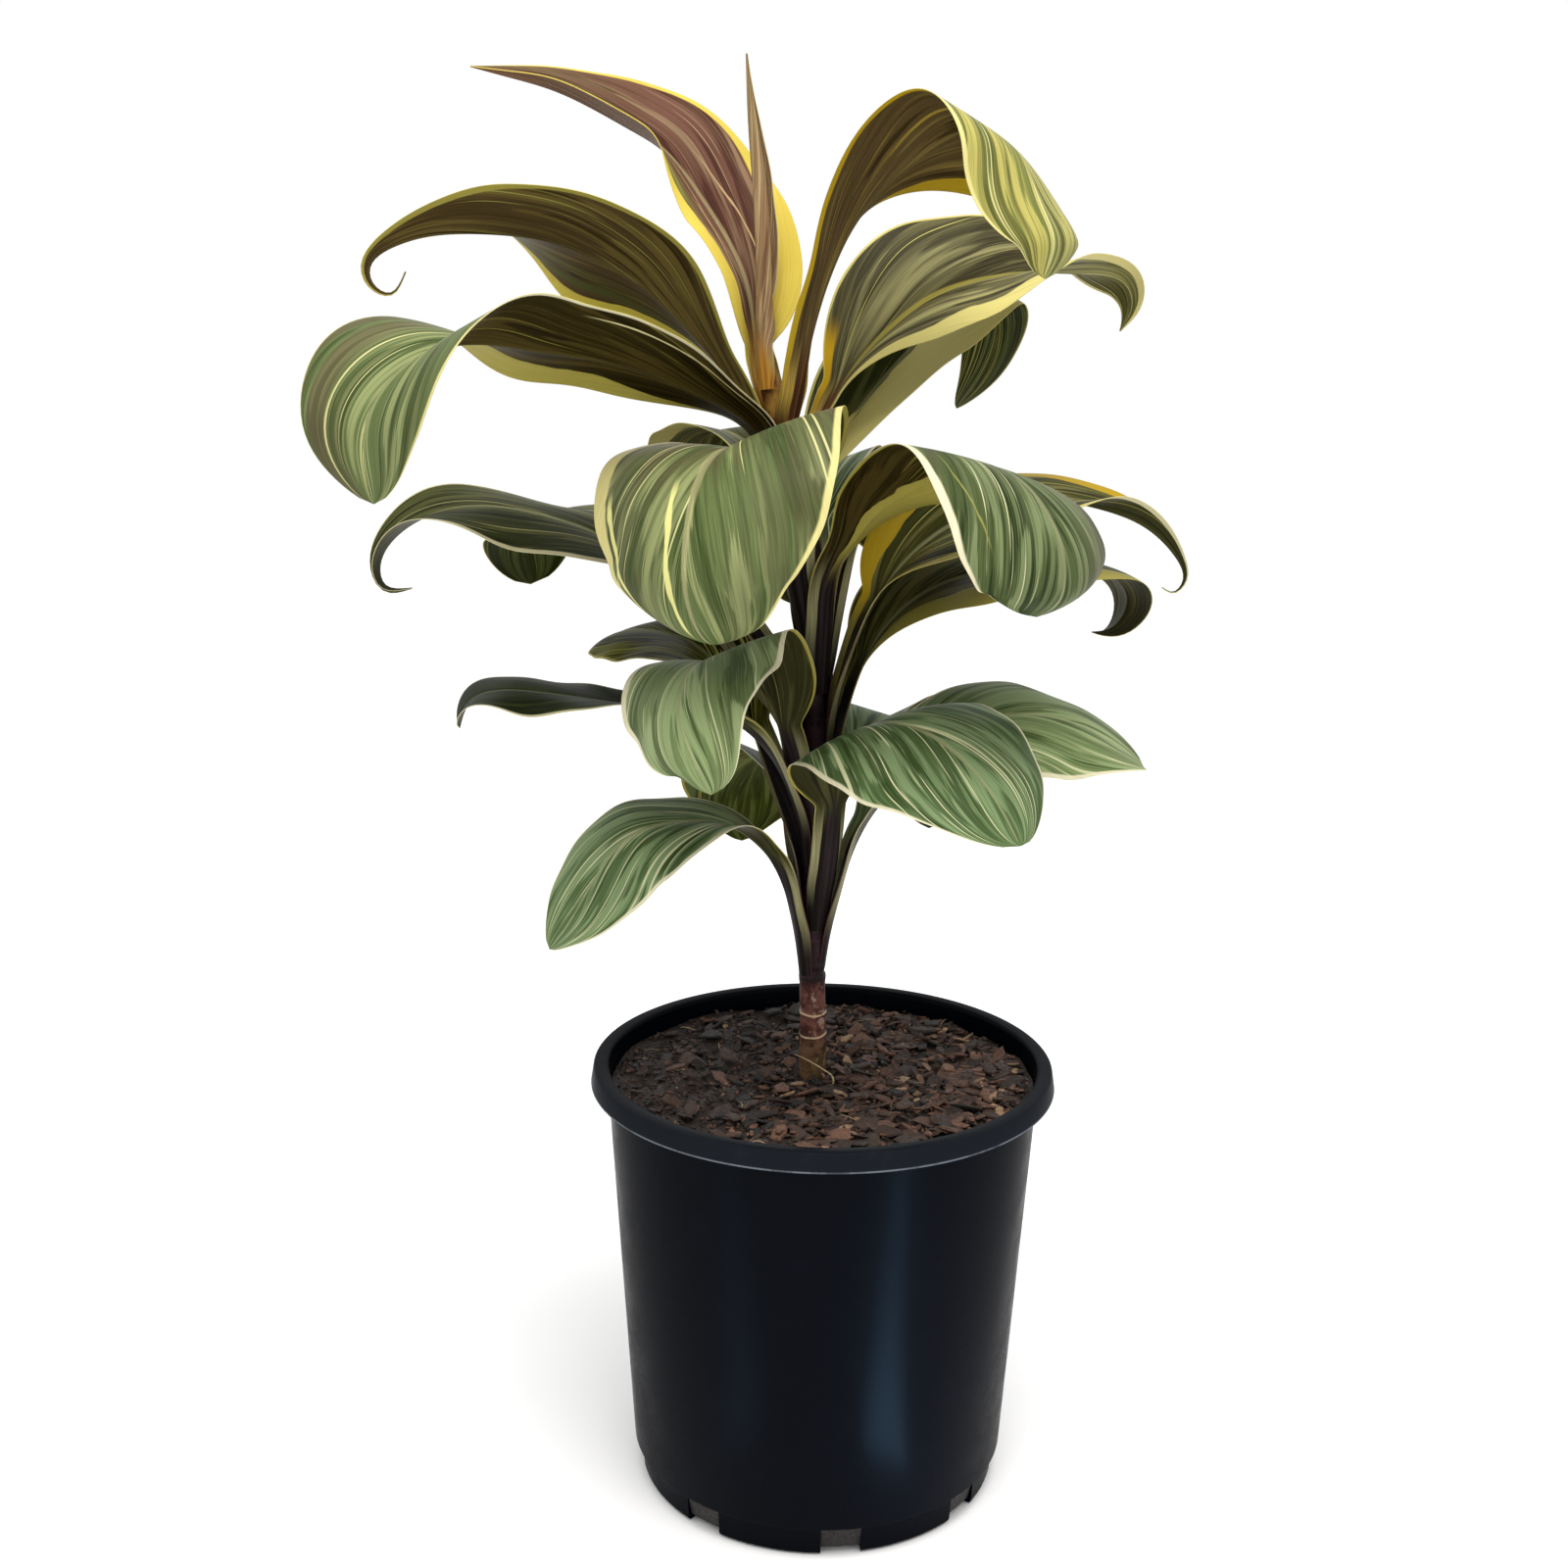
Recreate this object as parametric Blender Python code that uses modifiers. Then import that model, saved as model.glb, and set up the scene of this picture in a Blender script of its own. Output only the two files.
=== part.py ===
"""Ti plant in a 200 mm nursery pot: pot, potting mix, stem and two dozen leaves.

The origin is the centre of the pot's underside, +Z is up and -Y is the front. Sizes below are in
millimetres and are turned into metres by MM. A leaf is a loft: a midrib curve with a cross section
that is rolled, folded along the midrib and bent towards the margins.
"""

import math

import bmesh
import bpy
import numpy as np

MM = 0.001
TOUCH_GAP = 0.3

# Pot
RIM_RADIUS = 100.0
RIM_TOP_RADIUS = 98.8
RIM_HEIGHT = 189.0
LIP_DROP = 8.0
MOUTH_RADIUS = 92.0
WALL = 1.3
WALL_TOP_RADIUS = 93.3
STEP_HEIGHT = 13.5
STEP_RADIUS = 82.0
STEP_IN = 2.6
FOOT_RADIUS = 78.2
FOOT_ROUND = 2.0
FLOOR = 2.0
POT_SIDES = 48
HOLE_COUNT = 8
HOLE_WIDTH = 17.0
HOLE_TOP = 13.0
HOLE_INNER = 70.0
HOLE_OUTER = 90.0
FIRST_HOLE = -82.0

# Potting mix
MIX_TOP = 181.5
MIX_UNEVEN = 1.2
MIX_RINGS = (70.0, 45.0, 22.0)
STEM_HOLE_RADIUS = 6.7
STEM_HOLE_FLOOR = 130.0

# Stem: height, distance right and back of the pot's axis, radius
STEM = (
    (130.3, -4.0, 1.0, 6.2),
    (160.0, -4.0, 1.0, 6.2),
    (184.0, -4.1, 1.0, 6.2),
    (196.0, -4.4, 1.0, 5.9),
    (197.5, -4.4, 1.0, 6.4),
    (199.0, -4.5, 1.0, 5.8),
    (209.0, -4.7, 1.0, 5.8),
    (210.5, -4.7, 1.0, 6.3),
    (212.0, -4.8, 1.0, 5.7),
    (220.0, -5.0, 1.0, 5.6),
    (225.0, -5.0, 1.0, 4.3),
    (268.0, -4.5, 1.0, 4.3),
    (311.0, -4.0, 1.0, 4.3),
    (346.0, -6.0, 1.0, 4.2),
    (380.0, -8.0, 1.0, 4.1),
    (410.0, -13.0, 1.0, 4.0),
    (440.0, -18.0, 1.0, 4.0),
    (460.0, -22.5, 1.0, 4.0),
    (477.0, -26.2, 1.0, 3.8),
    (481.0, -27.2, 1.0, 2.6),
)
STEM_SIDES = 12

# Leaves
BLADE = 0.9
FOOT_REACH = 5.2
CLASP_HALF = 6.0
STALK_HALF = 8.5
FULL_STALK_FROM = 50.0
TIP_HALF = 0.9
MOST_WRAP = math.radians(110.0)
LEAF_ROWS = 17
LEAF_COLUMNS = np.linspace(-1.0, 1.0, 7)
TURN_SHARE = 0.11
MIDRIB_SAMPLES = 400


def leaf(azimuth, stalk, width, outline, path, keys):
    """One row of the leaf table.

    azimuth: heading of the leaf from above, degrees from +X towards the back.
    stalk: length of the stalk below the blade.
    width: across the blade.
    outline: how full the blade is towards its base and towards its tip.
    path: midrib points as reach from the stem, height and, where it swings, degrees of swing.
    keys: place along the blade, roll, fold and bend of the cross section in degrees.
    """
    return dict(azimuth=azimuth, stalk=stalk, width=width, outline=outline, path=path, keys=keys)


LEAVES = (
    leaf(200, 55, 60, (0.9, 0.65),
         [(FOOT_REACH, 226), (6.8, 238), (11, 259), (21, 282), (38, 296), (59, 299), (78, 295), (93, 280),
          (104, 262), (114, 249)],
         [(0, 5, 30, 10), (0.2, -2, 15, 0), (0.45, -15, 2, -20), (0.75, -20, 5, -20), (1, -10, 10, 0)]),
    leaf(11, 62, 76, (0.7, 0.55),
         [(FOOT_REACH, 232), (6.8, 244), (10.2, 260), (17, 282), (26, 299), (39, 314), (56, 327),
          (75, 337), (97, 338), (119, 331), (144, 314)],
         [(0, 0, 30, 0), (0.2, 10, 25, -10), (0.45, 20, 10, -30), (0.75, 20, 5, -30), (1, 10, 10, 0)]),
    leaf(108, 62, 74, (0.7, 0.75),
         [(FOOT_REACH, 246), (6.8, 257), (9.8, 267), (15, 277), (32, 298), (64, 308), (96, 296),
          (114, 272), (116, 256)],
         [(0, 0, 30, 10), (0.3, 5, 22, -10), (0.6, 5, 5, -35), (1, 0, 0, -30)]),
    leaf(308, 56, 88, (0.6, 0.6),
         [(FOOT_REACH, 248), (6.8, 260), (9.4, 275), (13, 298), (18, 320), (32, 340), (61, 346),
          (87, 340), (108, 328), (124, 312)],
         [(0, 0, 25, 0), (0.15, 5, 15, -20), (0.4, 12, 5, -28), (0.7, 10, 0, -28), (1, 0, 0, -30)]),
    leaf(145, 80, 72, (0.75, 0.75),
         [(FOOT_REACH, 256), (6.8, 268), (9.4, 282), (16, 299), (29, 322), (44, 345), (64, 362),
          (89, 367), (111, 363), (123, 352)],
         [(0, 0, 30, 10), (0.3, -5, 22, -10), (0.6, -10, 10, -30), (1, 0, 0, -20)]),
    leaf(67, 66, 80, (0.7, 0.75),
         [(FOOT_REACH, 268), (6.8, 278), (9.4, 290), (17, 304), (42, 319), (80, 325), (118, 309),
          (138, 281), (140, 259)],
         [(0, 0, 30, 10), (0.3, -5, 22, -10), (0.6, -5, 5, -35), (1, 0, 0, -30)]),
    leaf(190, 66, 58, (0.9, 0.7),
         [(FOOT_REACH, 276), (6.8, 288), (9.6, 300), (14, 313), (26, 331), (47, 343), (71, 345.5),
          (95, 349), (115, 352), (130, 353), (142, 349), (147, 338)],
         [(0, 8, 28, 10), (0.2, 8, 14, 0), (0.6, -2, 8, -16), (0.8, -6, 5, -16), (1, 0, 20, 0)]),
    leaf(18, 78, 74, (0.7, 0.9),
         [(FOOT_REACH, 284), (7.2, 296), (9.8, 310), (11, 330), (16, 352), (29, 376), (53, 393),
          (84, 400), (110, 402), (130, 396), (139, 385), (133, 373), (123, 371)],
         [(0, 10, 30, 0), (0.2, 12, 22, -20), (0.5, 10, 15, -30), (0.75, 0, 15, -30), (1, 0, 20, 0)]),
    leaf(227, 48, 74, (0.62, 0.62),
         [(FOOT_REACH, 292), (7.2, 303), (11.5, 315), (19, 332), (36, 356), (62, 370, 0), (88, 366, 8),
          (100, 353, 13), (103, 338, 18), (99, 328, 20)],
         [(0, 0, 28, 10), (0.2, 14, 30, -14), (0.38, 20, 20, -24), (0.55, 18, 4, -34), (0.7, 16, 2, -40),
          (1, 0, 0, -30)]),
    leaf(180, 86, 60, (0.75, 1.2),
         [(FOOT_REACH, 303), (6.6, 314), (9.8, 325), (18, 341), (41, 368), (65, 396), (91, 414),
          (111, 421), (135, 425), (157, 422), (174, 412), (181, 400), (179, 392), (168, 391)],
         [(0, -5, 28, 10), (0.3, -12, 10, -20), (0.55, -15, 2, -20), (0.75, -15, 20, 0),
          (1, -20, 30, 0)]),
    leaf(8, 80, 66, (0.65, 1.7),
         [(FOOT_REACH, 310), (6.6, 322), (8.2, 336), (11, 354), (16, 372), (28, 395), (45, 413),
          (67, 425), (90, 430), (111, 427), (134, 419), (149, 406), (153, 396), (149, 391), (144, 393)],
         [(0, 10, 30, 0), (0.2, 20, 22, -20), (0.5, 15, 20, -30), (0.7, 0, 35, 0), (1, 0, 30, 0)]),
    leaf(147, 76, 80, (0.95, 0.5),
         [(FOOT_REACH, 326), (6.8, 337), (11, 347), (23, 362), (49, 384), (82, 404), (110, 414),
          (137, 416), (156, 410), (162, 397), (157, 382)],
         [(0, 0, 28, 10), (0.3, -10, 22, -10), (0.6, -5, 10, -30), (1, 0, 0, -20)]),
    leaf(70, 78, 62, (0.7, 0.75),
         [(FOOT_REACH, 338), (6.8, 350), (9.8, 364), (15, 386), (38, 409), (80, 419), (110, 412),
          (126, 396), (131, 378)],
         [(0, 0, 28, 10), (0.3, 2, 22, -10), (0.6, 3, 5, -35), (1, 0, 0, -30)]),
    leaf(315, 54, 90, (0.95, 0.36),
         [(FOOT_REACH, 350), (6.8, 363), (8.8, 380), (12, 397), (20, 413), (37, 429), (57, 439),
          (79, 448), (101, 446), (117, 435), (127, 418), (126, 402), (116, 395)],
         [(0, -5, 30, 10), (0.15, -15, 18, 0), (0.3, -20, 4, 0), (0.45, -20, 0, -12), (0.65, -8, 3, -30),
          (1, 0, 0, -35)]),
    leaf(95, 60, 80, (0.7, 0.75),
         [(FOOT_REACH, 360), (6.8, 372), (9.4, 386), (16, 398), (38, 424), (74, 434), (110, 420),
          (130, 394), (134, 368)],
         [(0, 0, 28, 10), (0.3, -5, 22, -10), (0.6, -5, 5, -35), (1, 0, 0, -30)]),
    leaf(243, 60, 102, (0.52, 0.54),
         [(FOOT_REACH, 374), (6.8, 386), (8.8, 400), (17, 420), (36, 443), (66, 453), (98, 444, 3),
          (116, 424, 5), (120, 405, 6), (112, 390, 7), (101, 385, 7)],
         [(0, 0, 25, 10), (0.2, 10, 20, -8), (0.38, 12, 15, -28), (0.55, 9, 6, -40), (0.7, 6, 0, -44),
          (1, 0, 0, -30)]),
    leaf(124, 44, 64, (0.7, 0.7),
         [(FOOT_REACH, 391, -14), (6.6, 401, -13), (9.6, 411, -9), (20, 423), (38, 443), (64, 453),
          (86, 449), (96, 438), (97, 424)],
         [(0, 0, 28, 10), (0.3, 0, 25, -10), (0.6, 0, 10, -30), (1, 0, 0, -20)]),
    leaf(215, 48, 80, (1.3, 0.66),
         [(FOOT_REACH, 402), (6.8, 413), (10.2, 424), (15.5, 438), (23, 457), (38, 467), (53, 473),
          (70, 479), (95, 485), (119, 488), (135, 490), (158, 488), (176, 476), (185, 460), (183, 435)],
         [(0, 12, 22, 10), (0.15, 32, 14, 0), (0.35, 26, 8, -5), (0.5, 22, 10, -5), (0.6, 10, 20, -10),
          (0.7, -4, 26, -20), (0.82, -18, 25, -26), (1, -20, 10, -24)]),
    leaf(42, 26, 56, (0.6, 0.75),
         [(FOOT_REACH, 414), (6.8, 425), (11, 436), (19, 450), (38, 469), (62, 489), (86, 505),
          (104, 512), (112, 505), (112, 490), (103, 475), (90, 464)],
         [(0, 20, 28, 0), (0.3, 22, 28, -10), (0.6, 10, 15, -30), (1, 0, 5, -20)]),
    leaf(195, 44, 61, (1.6, 2.1),
         [(FOOT_REACH, 428), (6.8, 439), (11, 450), (18, 461), (26, 476), (36, 489), (50, 503), (65, 515),
          (81, 523), (96, 528), (110, 530), (136, 530), (153, 526), (164, 518), (163, 511), (157, 508),
          (151, 516)],
         [(0, 12, 20, 10), (0.2, 36, 16, -10), (0.45, 34, 10, -10), (0.65, 10, 30, 10), (1, 0, 40, 20)]),
    leaf(20, 36, 70, (0.8, 1.2),
         [(FOOT_REACH, 440), (8, 450), (15, 462), (26, 479), (42, 496), (62, 510), (84, 517), (106, 520),
          (128, 520), (147, 516), (151, 507), (147, 497)],
         [(0, 15, 28, 0), (0.2, 34, 34, -20), (0.5, 32, 30, -20), (0.7, 6, 28, -10), (0.86, -26, 8, -10),
          (1, -30, 5, 0)]),
    leaf(322, 34, 66, (1.6, 0.6),
         [(FOOT_REACH, 452), (9, 463), (13, 480), (17, 501), (25, 520), (37, 538), (58, 554), (85, 564),
          (106, 560), (118, 542), (126, 527), (121, 515)],
         [(0, 0, 28, 10), (0.25, -10, 46, 10), (0.45, -30, 20, -15), (0.6, -36, 3, -20),
          (0.78, -8, 0, -35), (1, 0, 0, -20)]),
    leaf(140, 26, 55, (0.5, 1.15),
         [(5.5, 464, -25), (6.5, 472, -22), (8, 484, -14), (10.5, 497, -6), (16, 513), (30, 535),
          (41, 551, 6), (51, 565, 14), (62, 573, 22), (76, 581, 30), (90, 587, 34), (105, 591, 36),
          (119, 594, 40)],
         [(0, -20, 40, 20), (0.4, -22, 38, -5), (0.7, -20, 40, 0), (1, -20, 45, 0)]),
    leaf(250, 16, 26, (0.6, 1.2),
         [(FOOT_REACH, 473), (5.4, 500, -10), (5.6, 525, -20), (6.6, 550, -32), (8.6, 575, -42),
          (9.6, 599, -47)],
         [(0, 0, 0, 60), (0.15, 0, 20, 140), (0.3, 0, 30, 165), (0.7, 0, 30, 165), (1, 0, 30, 150)]),
)


def stem_at(height):
    """How far right and back the stem's centre line is at a height."""
    axis = np.array(STEM)
    return np.array([np.interp(height, axis[:, 0], axis[:, i]) for i in (1, 2)])


def spline(knots, values, where):
    """Natural cubic spline through the values at the knots, read at where."""
    x, y = np.asarray(knots, float), np.asarray(values, float)
    count, step = len(x), np.diff(x)
    system, right = np.eye(count), np.zeros_like(y)
    for i in range(1, count - 1):
        system[i, i - 1:i + 2] = step[i - 1], 2 * (step[i - 1] + step[i]), step[i]
        right[i] = 6 * ((y[i + 1] - y[i]) / step[i] - (y[i] - y[i - 1]) / step[i - 1])
    curve = np.linalg.solve(system, right)
    at = np.clip(np.asarray(where, float), x[0], x[-1])
    k = np.clip(np.searchsorted(x, at) - 1, 0, count - 2)
    after, before, span = at - x[k], x[k + 1] - at, step[k]
    if y.ndim == 2:
        after, before, span = after[:, None], before[:, None], span[:, None]
    bent = (curve[k] * before**3 + curve[k + 1] * after**3) / (6 * span)
    left = (y[k] / span - curve[k] * span / 6) * before
    right = (y[k + 1] / span - curve[k + 1] * span / 6) * after
    return bent + left + right


def smooth(t):
    """0 below 0, 1 above 1 and an even rise between."""
    t = np.clip(t, 0.0, 1.0)
    return t * t * (3.0 - 2.0 * t)


def midrib(row):
    """Evenly spaced points of a leaf's midrib, the distance along it, and its swing in degrees."""
    swing = [p[2] if len(p) > 2 else 0.0 for p in row["path"]]
    heading = np.radians(row["azimuth"] + np.array(swing))
    reach = np.array([p[0] for p in row["path"]])
    height = np.array([p[1] for p in row["path"]], float)
    # close to the stem the midrib follows its lean, farther out it keeps to its own heading
    foot = stem_at(height[:1])
    centre = foot + (1 - smooth((reach - 6.0) / 10.0)) * (stem_at(height) - foot)
    points = np.stack([centre[0] + reach * np.cos(heading), centre[1] + reach * np.sin(heading), height], 1)
    knots = np.concatenate([[0], np.cumsum(np.linalg.norm(np.diff(points, axis=0), axis=1) ** 0.7)])
    fine = np.linspace(0, knots[-1], 3 * MIDRIB_SAMPLES)
    curve = spline(knots, points, fine)
    turn = np.interp(fine, knots, swing)
    arc = np.concatenate([[0], np.cumsum(np.linalg.norm(np.diff(curve, axis=0), axis=1))])
    along = np.linspace(0, arc[-1], MIDRIB_SAMPLES)
    even = np.stack([np.interp(along, arc, curve[:, i]) for i in range(3)], 1)
    return even, along, np.interp(along, arc, turn)


def half_width(row, along, length):
    """Half the leaf's width: a clasping foot, a narrow stalk and then the blade's outline."""
    x = np.clip((along - row["stalk"]) / (length - row["stalk"]), 0.0, 1.0)
    base, tip = row["outline"]
    peak = (base / (base + tip)) ** base * (tip / (base + tip)) ** tip
    blade = row["width"] / 2 * x**base * (1 - x) ** tip / peak
    stalk = CLASP_HALF + (STALK_HALF - CLASP_HALF) * smooth(along / (0.4 * row["stalk"]))
    stalk = stalk * min(1.0, row["width"] / FULL_STALK_FROM) * (1 - smooth(x / 0.7))
    return (blade**4 + stalk**4) ** 0.25 + TIP_HALF


def leaf_rows(even, along):
    """Places along the midrib, closer together where it turns."""
    tangent = np.diff(even, axis=0)
    tangent /= np.linalg.norm(tangent, axis=1)[:, None]
    turning = np.arccos(np.clip((tangent[1:] * tangent[:-1]).sum(1), -1, 1))
    measure = np.concatenate([[0], np.cumsum(np.concatenate([[0], turning]) * TURN_SHARE + 1 / len(along))])
    return np.interp(np.linspace(0, measure[-1], LEAF_ROWS), measure, along)


def leaf_surface(row):
    """Points of a leaf's middle surface, rows along it by columns across it."""
    even, along, swing = midrib(row)
    length = along[-1]
    rows = leaf_rows(even, along)
    tangents = np.gradient(even, axis=0)

    def read(values):
        return np.stack([np.interp(rows, along, values[:, i]) for i in range(3)], 1)

    centre, tangent = read(even), read(tangents)
    tangent /= np.linalg.norm(tangent, axis=1)[:, None]
    x = np.clip((rows - row["stalk"]) / (length - row["stalk"]), 0.0, 1.0)
    keys = np.array(row["keys"], float)
    opened = smooth((rows / row["stalk"] - 0.5) / 0.5)
    roll, fold, bend = (np.radians(spline(keys[:, 0], keys[:, i], x)) * opened for i in (1, 2, 3))
    half = half_width(row, rows, length)
    reach = np.hypot(*(centre[:, :2].T - stem_at(centre[:, 2])))
    bend = bend + (1 - opened) * np.minimum(half / reach, MOST_WRAP)

    heading = np.radians(row["azimuth"] + np.interp(rows, along, swing))
    side = np.stack([-np.sin(heading), np.cos(heading), np.zeros_like(heading)], 1)
    side -= (side * tangent).sum(1)[:, None] * tangent
    side /= np.linalg.norm(side, axis=1)[:, None]
    up = np.cross(tangent, side)
    turn_cos, turn_sin = np.cos(roll)[:, None], np.sin(roll)[:, None]
    side, up = side * turn_cos + up * turn_sin, up * turn_cos - side * turn_sin

    # each half of the section is an arc that leaves the midrib at the fold angle
    share = np.abs(LEAF_COLUMNS)[None, :]
    sweep = np.where(np.abs(bend) < 0.001, 0.001, bend)[:, None]
    start, half = fold[:, None], half[:, None]
    out = half * (np.sin(start + sweep * share) - np.sin(start)) / sweep
    rise = half * (np.cos(start) - np.cos(start + sweep * share)) / sweep
    out = out * np.sign(LEAF_COLUMNS)[None, :]
    return centre[:, None] + side[:, None] * out[..., None] + up[:, None] * rise[..., None]


def material(name, colour, roughness, metallic=0.0):
    """A Principled material."""
    made = bpy.data.materials.new(name)
    made.use_nodes = True
    shader = made.node_tree.nodes["Principled BSDF"]
    shader.inputs["Base Color"].default_value = (*colour, 1.0)
    shader.inputs["Roughness"].default_value = roughness
    shader.inputs["Metallic"].default_value = metallic
    return made


def add(collection, name, mesh, finish):
    """A named object of a mesh, with its material."""
    made = bpy.data.objects.new(name, mesh)
    mesh.materials.append(finish)
    collection.objects.link(made)
    return made


def mesh_of(name, build):
    """A mesh filled by a function that works on a bmesh."""
    shape = bmesh.new()
    build(shape)
    mesh = bpy.data.meshes.new(name)
    shape.to_mesh(mesh)
    shape.free()
    return mesh


def turned(name, profile):
    """A mesh that holds a profile of (radius, height) as a chain of edges."""
    def build(shape):
        points = [shape.verts.new((r * MM, 0.0, z * MM)) for r, z in profile]
        for a, b in zip(points, points[1:]):
            shape.edges.new((a, b))
    return mesh_of(name, build)


def turn(made):
    """Turns a profile all the way round the Z axis."""
    screw = made.modifiers.new("turn", "SCREW")
    screw.axis = "Z"
    screw.steps = screw.render_steps = POT_SIDES
    screw.use_merge_vertices = True
    screw.merge_threshold = 0.00001
    screw.use_normal_calculate = True


def pot(collection, cutters):
    """The moulded pot: lip turned over outside, tapering wall, stepped foot, floor and drainage notches."""
    under_lip = RIM_HEIGHT - LIP_DROP
    profile = [
        (0.0, FLOOR),
        (FOOT_RADIUS - WALL, FLOOR),
        (STEP_RADIUS - STEP_IN - WALL, STEP_HEIGHT),
        (STEP_RADIUS - WALL, STEP_HEIGHT + 1.5),
        (MOUTH_RADIUS, RIM_HEIGHT - 1.0),
        (MOUTH_RADIUS + 0.6, RIM_HEIGHT),
        (RIM_TOP_RADIUS - 0.5, RIM_HEIGHT),
        (RIM_TOP_RADIUS, RIM_HEIGHT - 0.6),
        (RIM_RADIUS, under_lip),
        (RIM_RADIUS - WALL, under_lip),
        (RIM_TOP_RADIUS - WALL, RIM_HEIGHT - WALL - 0.4),
        (MOUTH_RADIUS + WALL + 0.1, RIM_HEIGHT - WALL - 0.4),
        (WALL_TOP_RADIUS - 0.5, under_lip),
        (STEP_RADIUS, STEP_HEIGHT),
        (STEP_RADIUS - STEP_IN, STEP_HEIGHT - 1.0),
        (FOOT_RADIUS + 0.6, FOOT_ROUND),
        (FOOT_RADIUS - FOOT_ROUND + 0.6, 0.0),
        (0.0, 0.0),
    ]
    plastic = material("pot_plastic", (0.006, 0.007, 0.011), 0.32)
    body = add(collection, "pot", turned("pot", profile), plastic)
    turn(body)
    middle = (HOLE_INNER + HOLE_OUTER) / 2
    for i in range(HOLE_COUNT):
        angle = math.radians(FIRST_HOLE + 360.0 / HOLE_COUNT * i)
        cutter = mesh_of(f"notch_{i + 1}", lambda shape: bmesh.ops.create_cube(shape, size=1.0))
        made = bpy.data.objects.new(f"notch_{i + 1}", cutter)
        cutters.objects.link(made)
        x, y, z = middle * math.cos(angle), middle * math.sin(angle), (HOLE_TOP - 2.0) / 2
        made.location = (x * MM, y * MM, z * MM)
        made.rotation_euler = (0.0, 0.0, angle)
        made.scale = ((HOLE_OUTER - HOLE_INNER) * MM, HOLE_WIDTH * MM, (HOLE_TOP + 2.0) * MM)
        made.display_type = "WIRE"
        made.hide_render = True
    cut = body.modifiers.new("notches", "BOOLEAN")
    cut.operation = "DIFFERENCE"
    cut.operand_type = "COLLECTION"
    cut.collection = cutters
    cut.solver = "EXACT"


def mix(collection):
    """The potting mix: it fills the pot, has an uneven top, and a plain hole for the stem."""
    centre = stem_at(MIX_TOP)
    gap = TOUCH_GAP + 0.1
    wall_slope = (MOUTH_RADIUS - STEP_RADIUS + WALL) / (RIM_HEIGHT - 1.0 - STEP_HEIGHT - 1.5)
    top_radius = MOUTH_RADIUS - gap - wall_slope * (RIM_HEIGHT - 1.0 - MIX_TOP)
    rings = [
        (STEM_HOLE_RADIUS, STEM_HOLE_FLOOR, True),
        (STEM_HOLE_RADIUS, MIX_TOP, True),
        (MIX_RINGS[2], MIX_TOP, False),
        (MIX_RINGS[1], MIX_TOP, False),
        (MIX_RINGS[0], MIX_TOP, False),
        (top_radius, MIX_TOP, False),
        (STEP_RADIUS - WALL - gap, STEP_HEIGHT + 1.5 + gap, False),
        (STEP_RADIUS - STEP_IN - WALL - gap, STEP_HEIGHT + gap, False),
        (FOOT_RADIUS - WALL - gap, FLOOR + TOUCH_GAP, False),
    ]

    def build(shape):
        loops = []
        for number, (radius, height, about_stem) in enumerate(rings):
            loop = []
            for i in range(POT_SIDES):
                angle = 2 * math.pi * i / POT_SIDES
                x = radius * math.cos(angle) + (centre[0] if about_stem else 0.0)
                y = radius * math.sin(angle) + (centre[1] if about_stem else 0.0)
                z = height
                if height == MIX_TOP and not about_stem and number < 5:
                    z += MIX_UNEVEN * math.sin(0.11 * x + 1.3) * math.cos(0.09 * y - 0.4)
                loop.append(shape.verts.new((x * MM, y * MM, z * MM)))
            loops.append(loop)
        for inner, outer in zip(loops, loops[1:]):
            for i in range(POT_SIDES):
                j = (i + 1) % POT_SIDES
                shape.faces.new((inner[i], outer[i], outer[j], inner[j]))
        shape.faces.new(loops[0])
        shape.faces.new(loops[-1][::-1])

    bark = material("bark_mix", (0.045, 0.026, 0.018), 0.9)
    body = add(collection, "potting_mix", mesh_of("potting_mix", build), bark)
    even = body.modifiers.new("triangles", "TRIANGULATE")
    even.quad_method = "FIXED"


def stem(collection):
    """The cane: a tube along its centre line, with raised leaf scars, bare up to the lowest leaf."""
    curve = bpy.data.curves.new("stem", "CURVE")
    curve.dimensions = "3D"
    curve.bevel_depth = MM
    curve.bevel_resolution = STEM_SIDES // 2 - 2
    curve.use_fill_caps = True
    line = curve.splines.new("POLY")
    line.points.add(len(STEM) - 1)
    for point, (height, x, y, radius) in zip(line.points, STEM):
        point.co = (x * MM, y * MM, height * MM, 1.0)
        point.radius = radius
    made = bpy.data.objects.new("stem", curve)
    curve.materials.append(material("stem_bark", (0.16, 0.075, 0.055), 0.6))
    collection.objects.link(made)
    weld = made.modifiers.new("weld caps", "WELD")
    weld.merge_threshold = 0.00001


def leaves(collection):
    """Every leaf as one thin closed solid, from the lowest to the rolled spear."""
    green = material("leaf_green", (0.10, 0.17, 0.06), 0.42)
    bronze = material("leaf_bronze", (0.13, 0.08, 0.04), 0.42)
    for number, row in enumerate(LEAVES, 1):
        grid = leaf_surface(row)

        def build(shape, grid=grid):
            points = [[shape.verts.new(p * MM) for p in line] for line in grid]
            for near, far in zip(points, points[1:]):
                for i in range(len(near) - 1):
                    corners = (near[i], near[i + 1], far[i + 1], far[i])
                    inward = i < (len(near) - 1) / 2
                    a, b, c, d = corners if inward else corners[1:] + corners[:1]
                    shape.faces.new((a, b, c))
                    shape.faces.new((a, c, d))

        finish = bronze if row["path"][0][1] > 395 else green
        made = add(collection, f"leaf_{number:02d}", mesh_of(f"leaf_{number:02d}", build), finish)
        made.data.shade_smooth()
        thick = made.modifiers.new("thickness", "SOLIDIFY")
        thick.thickness = BLADE * MM
        thick.offset = 0.0
        thick.use_rim = True
        thick.use_even_offset = False


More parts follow.
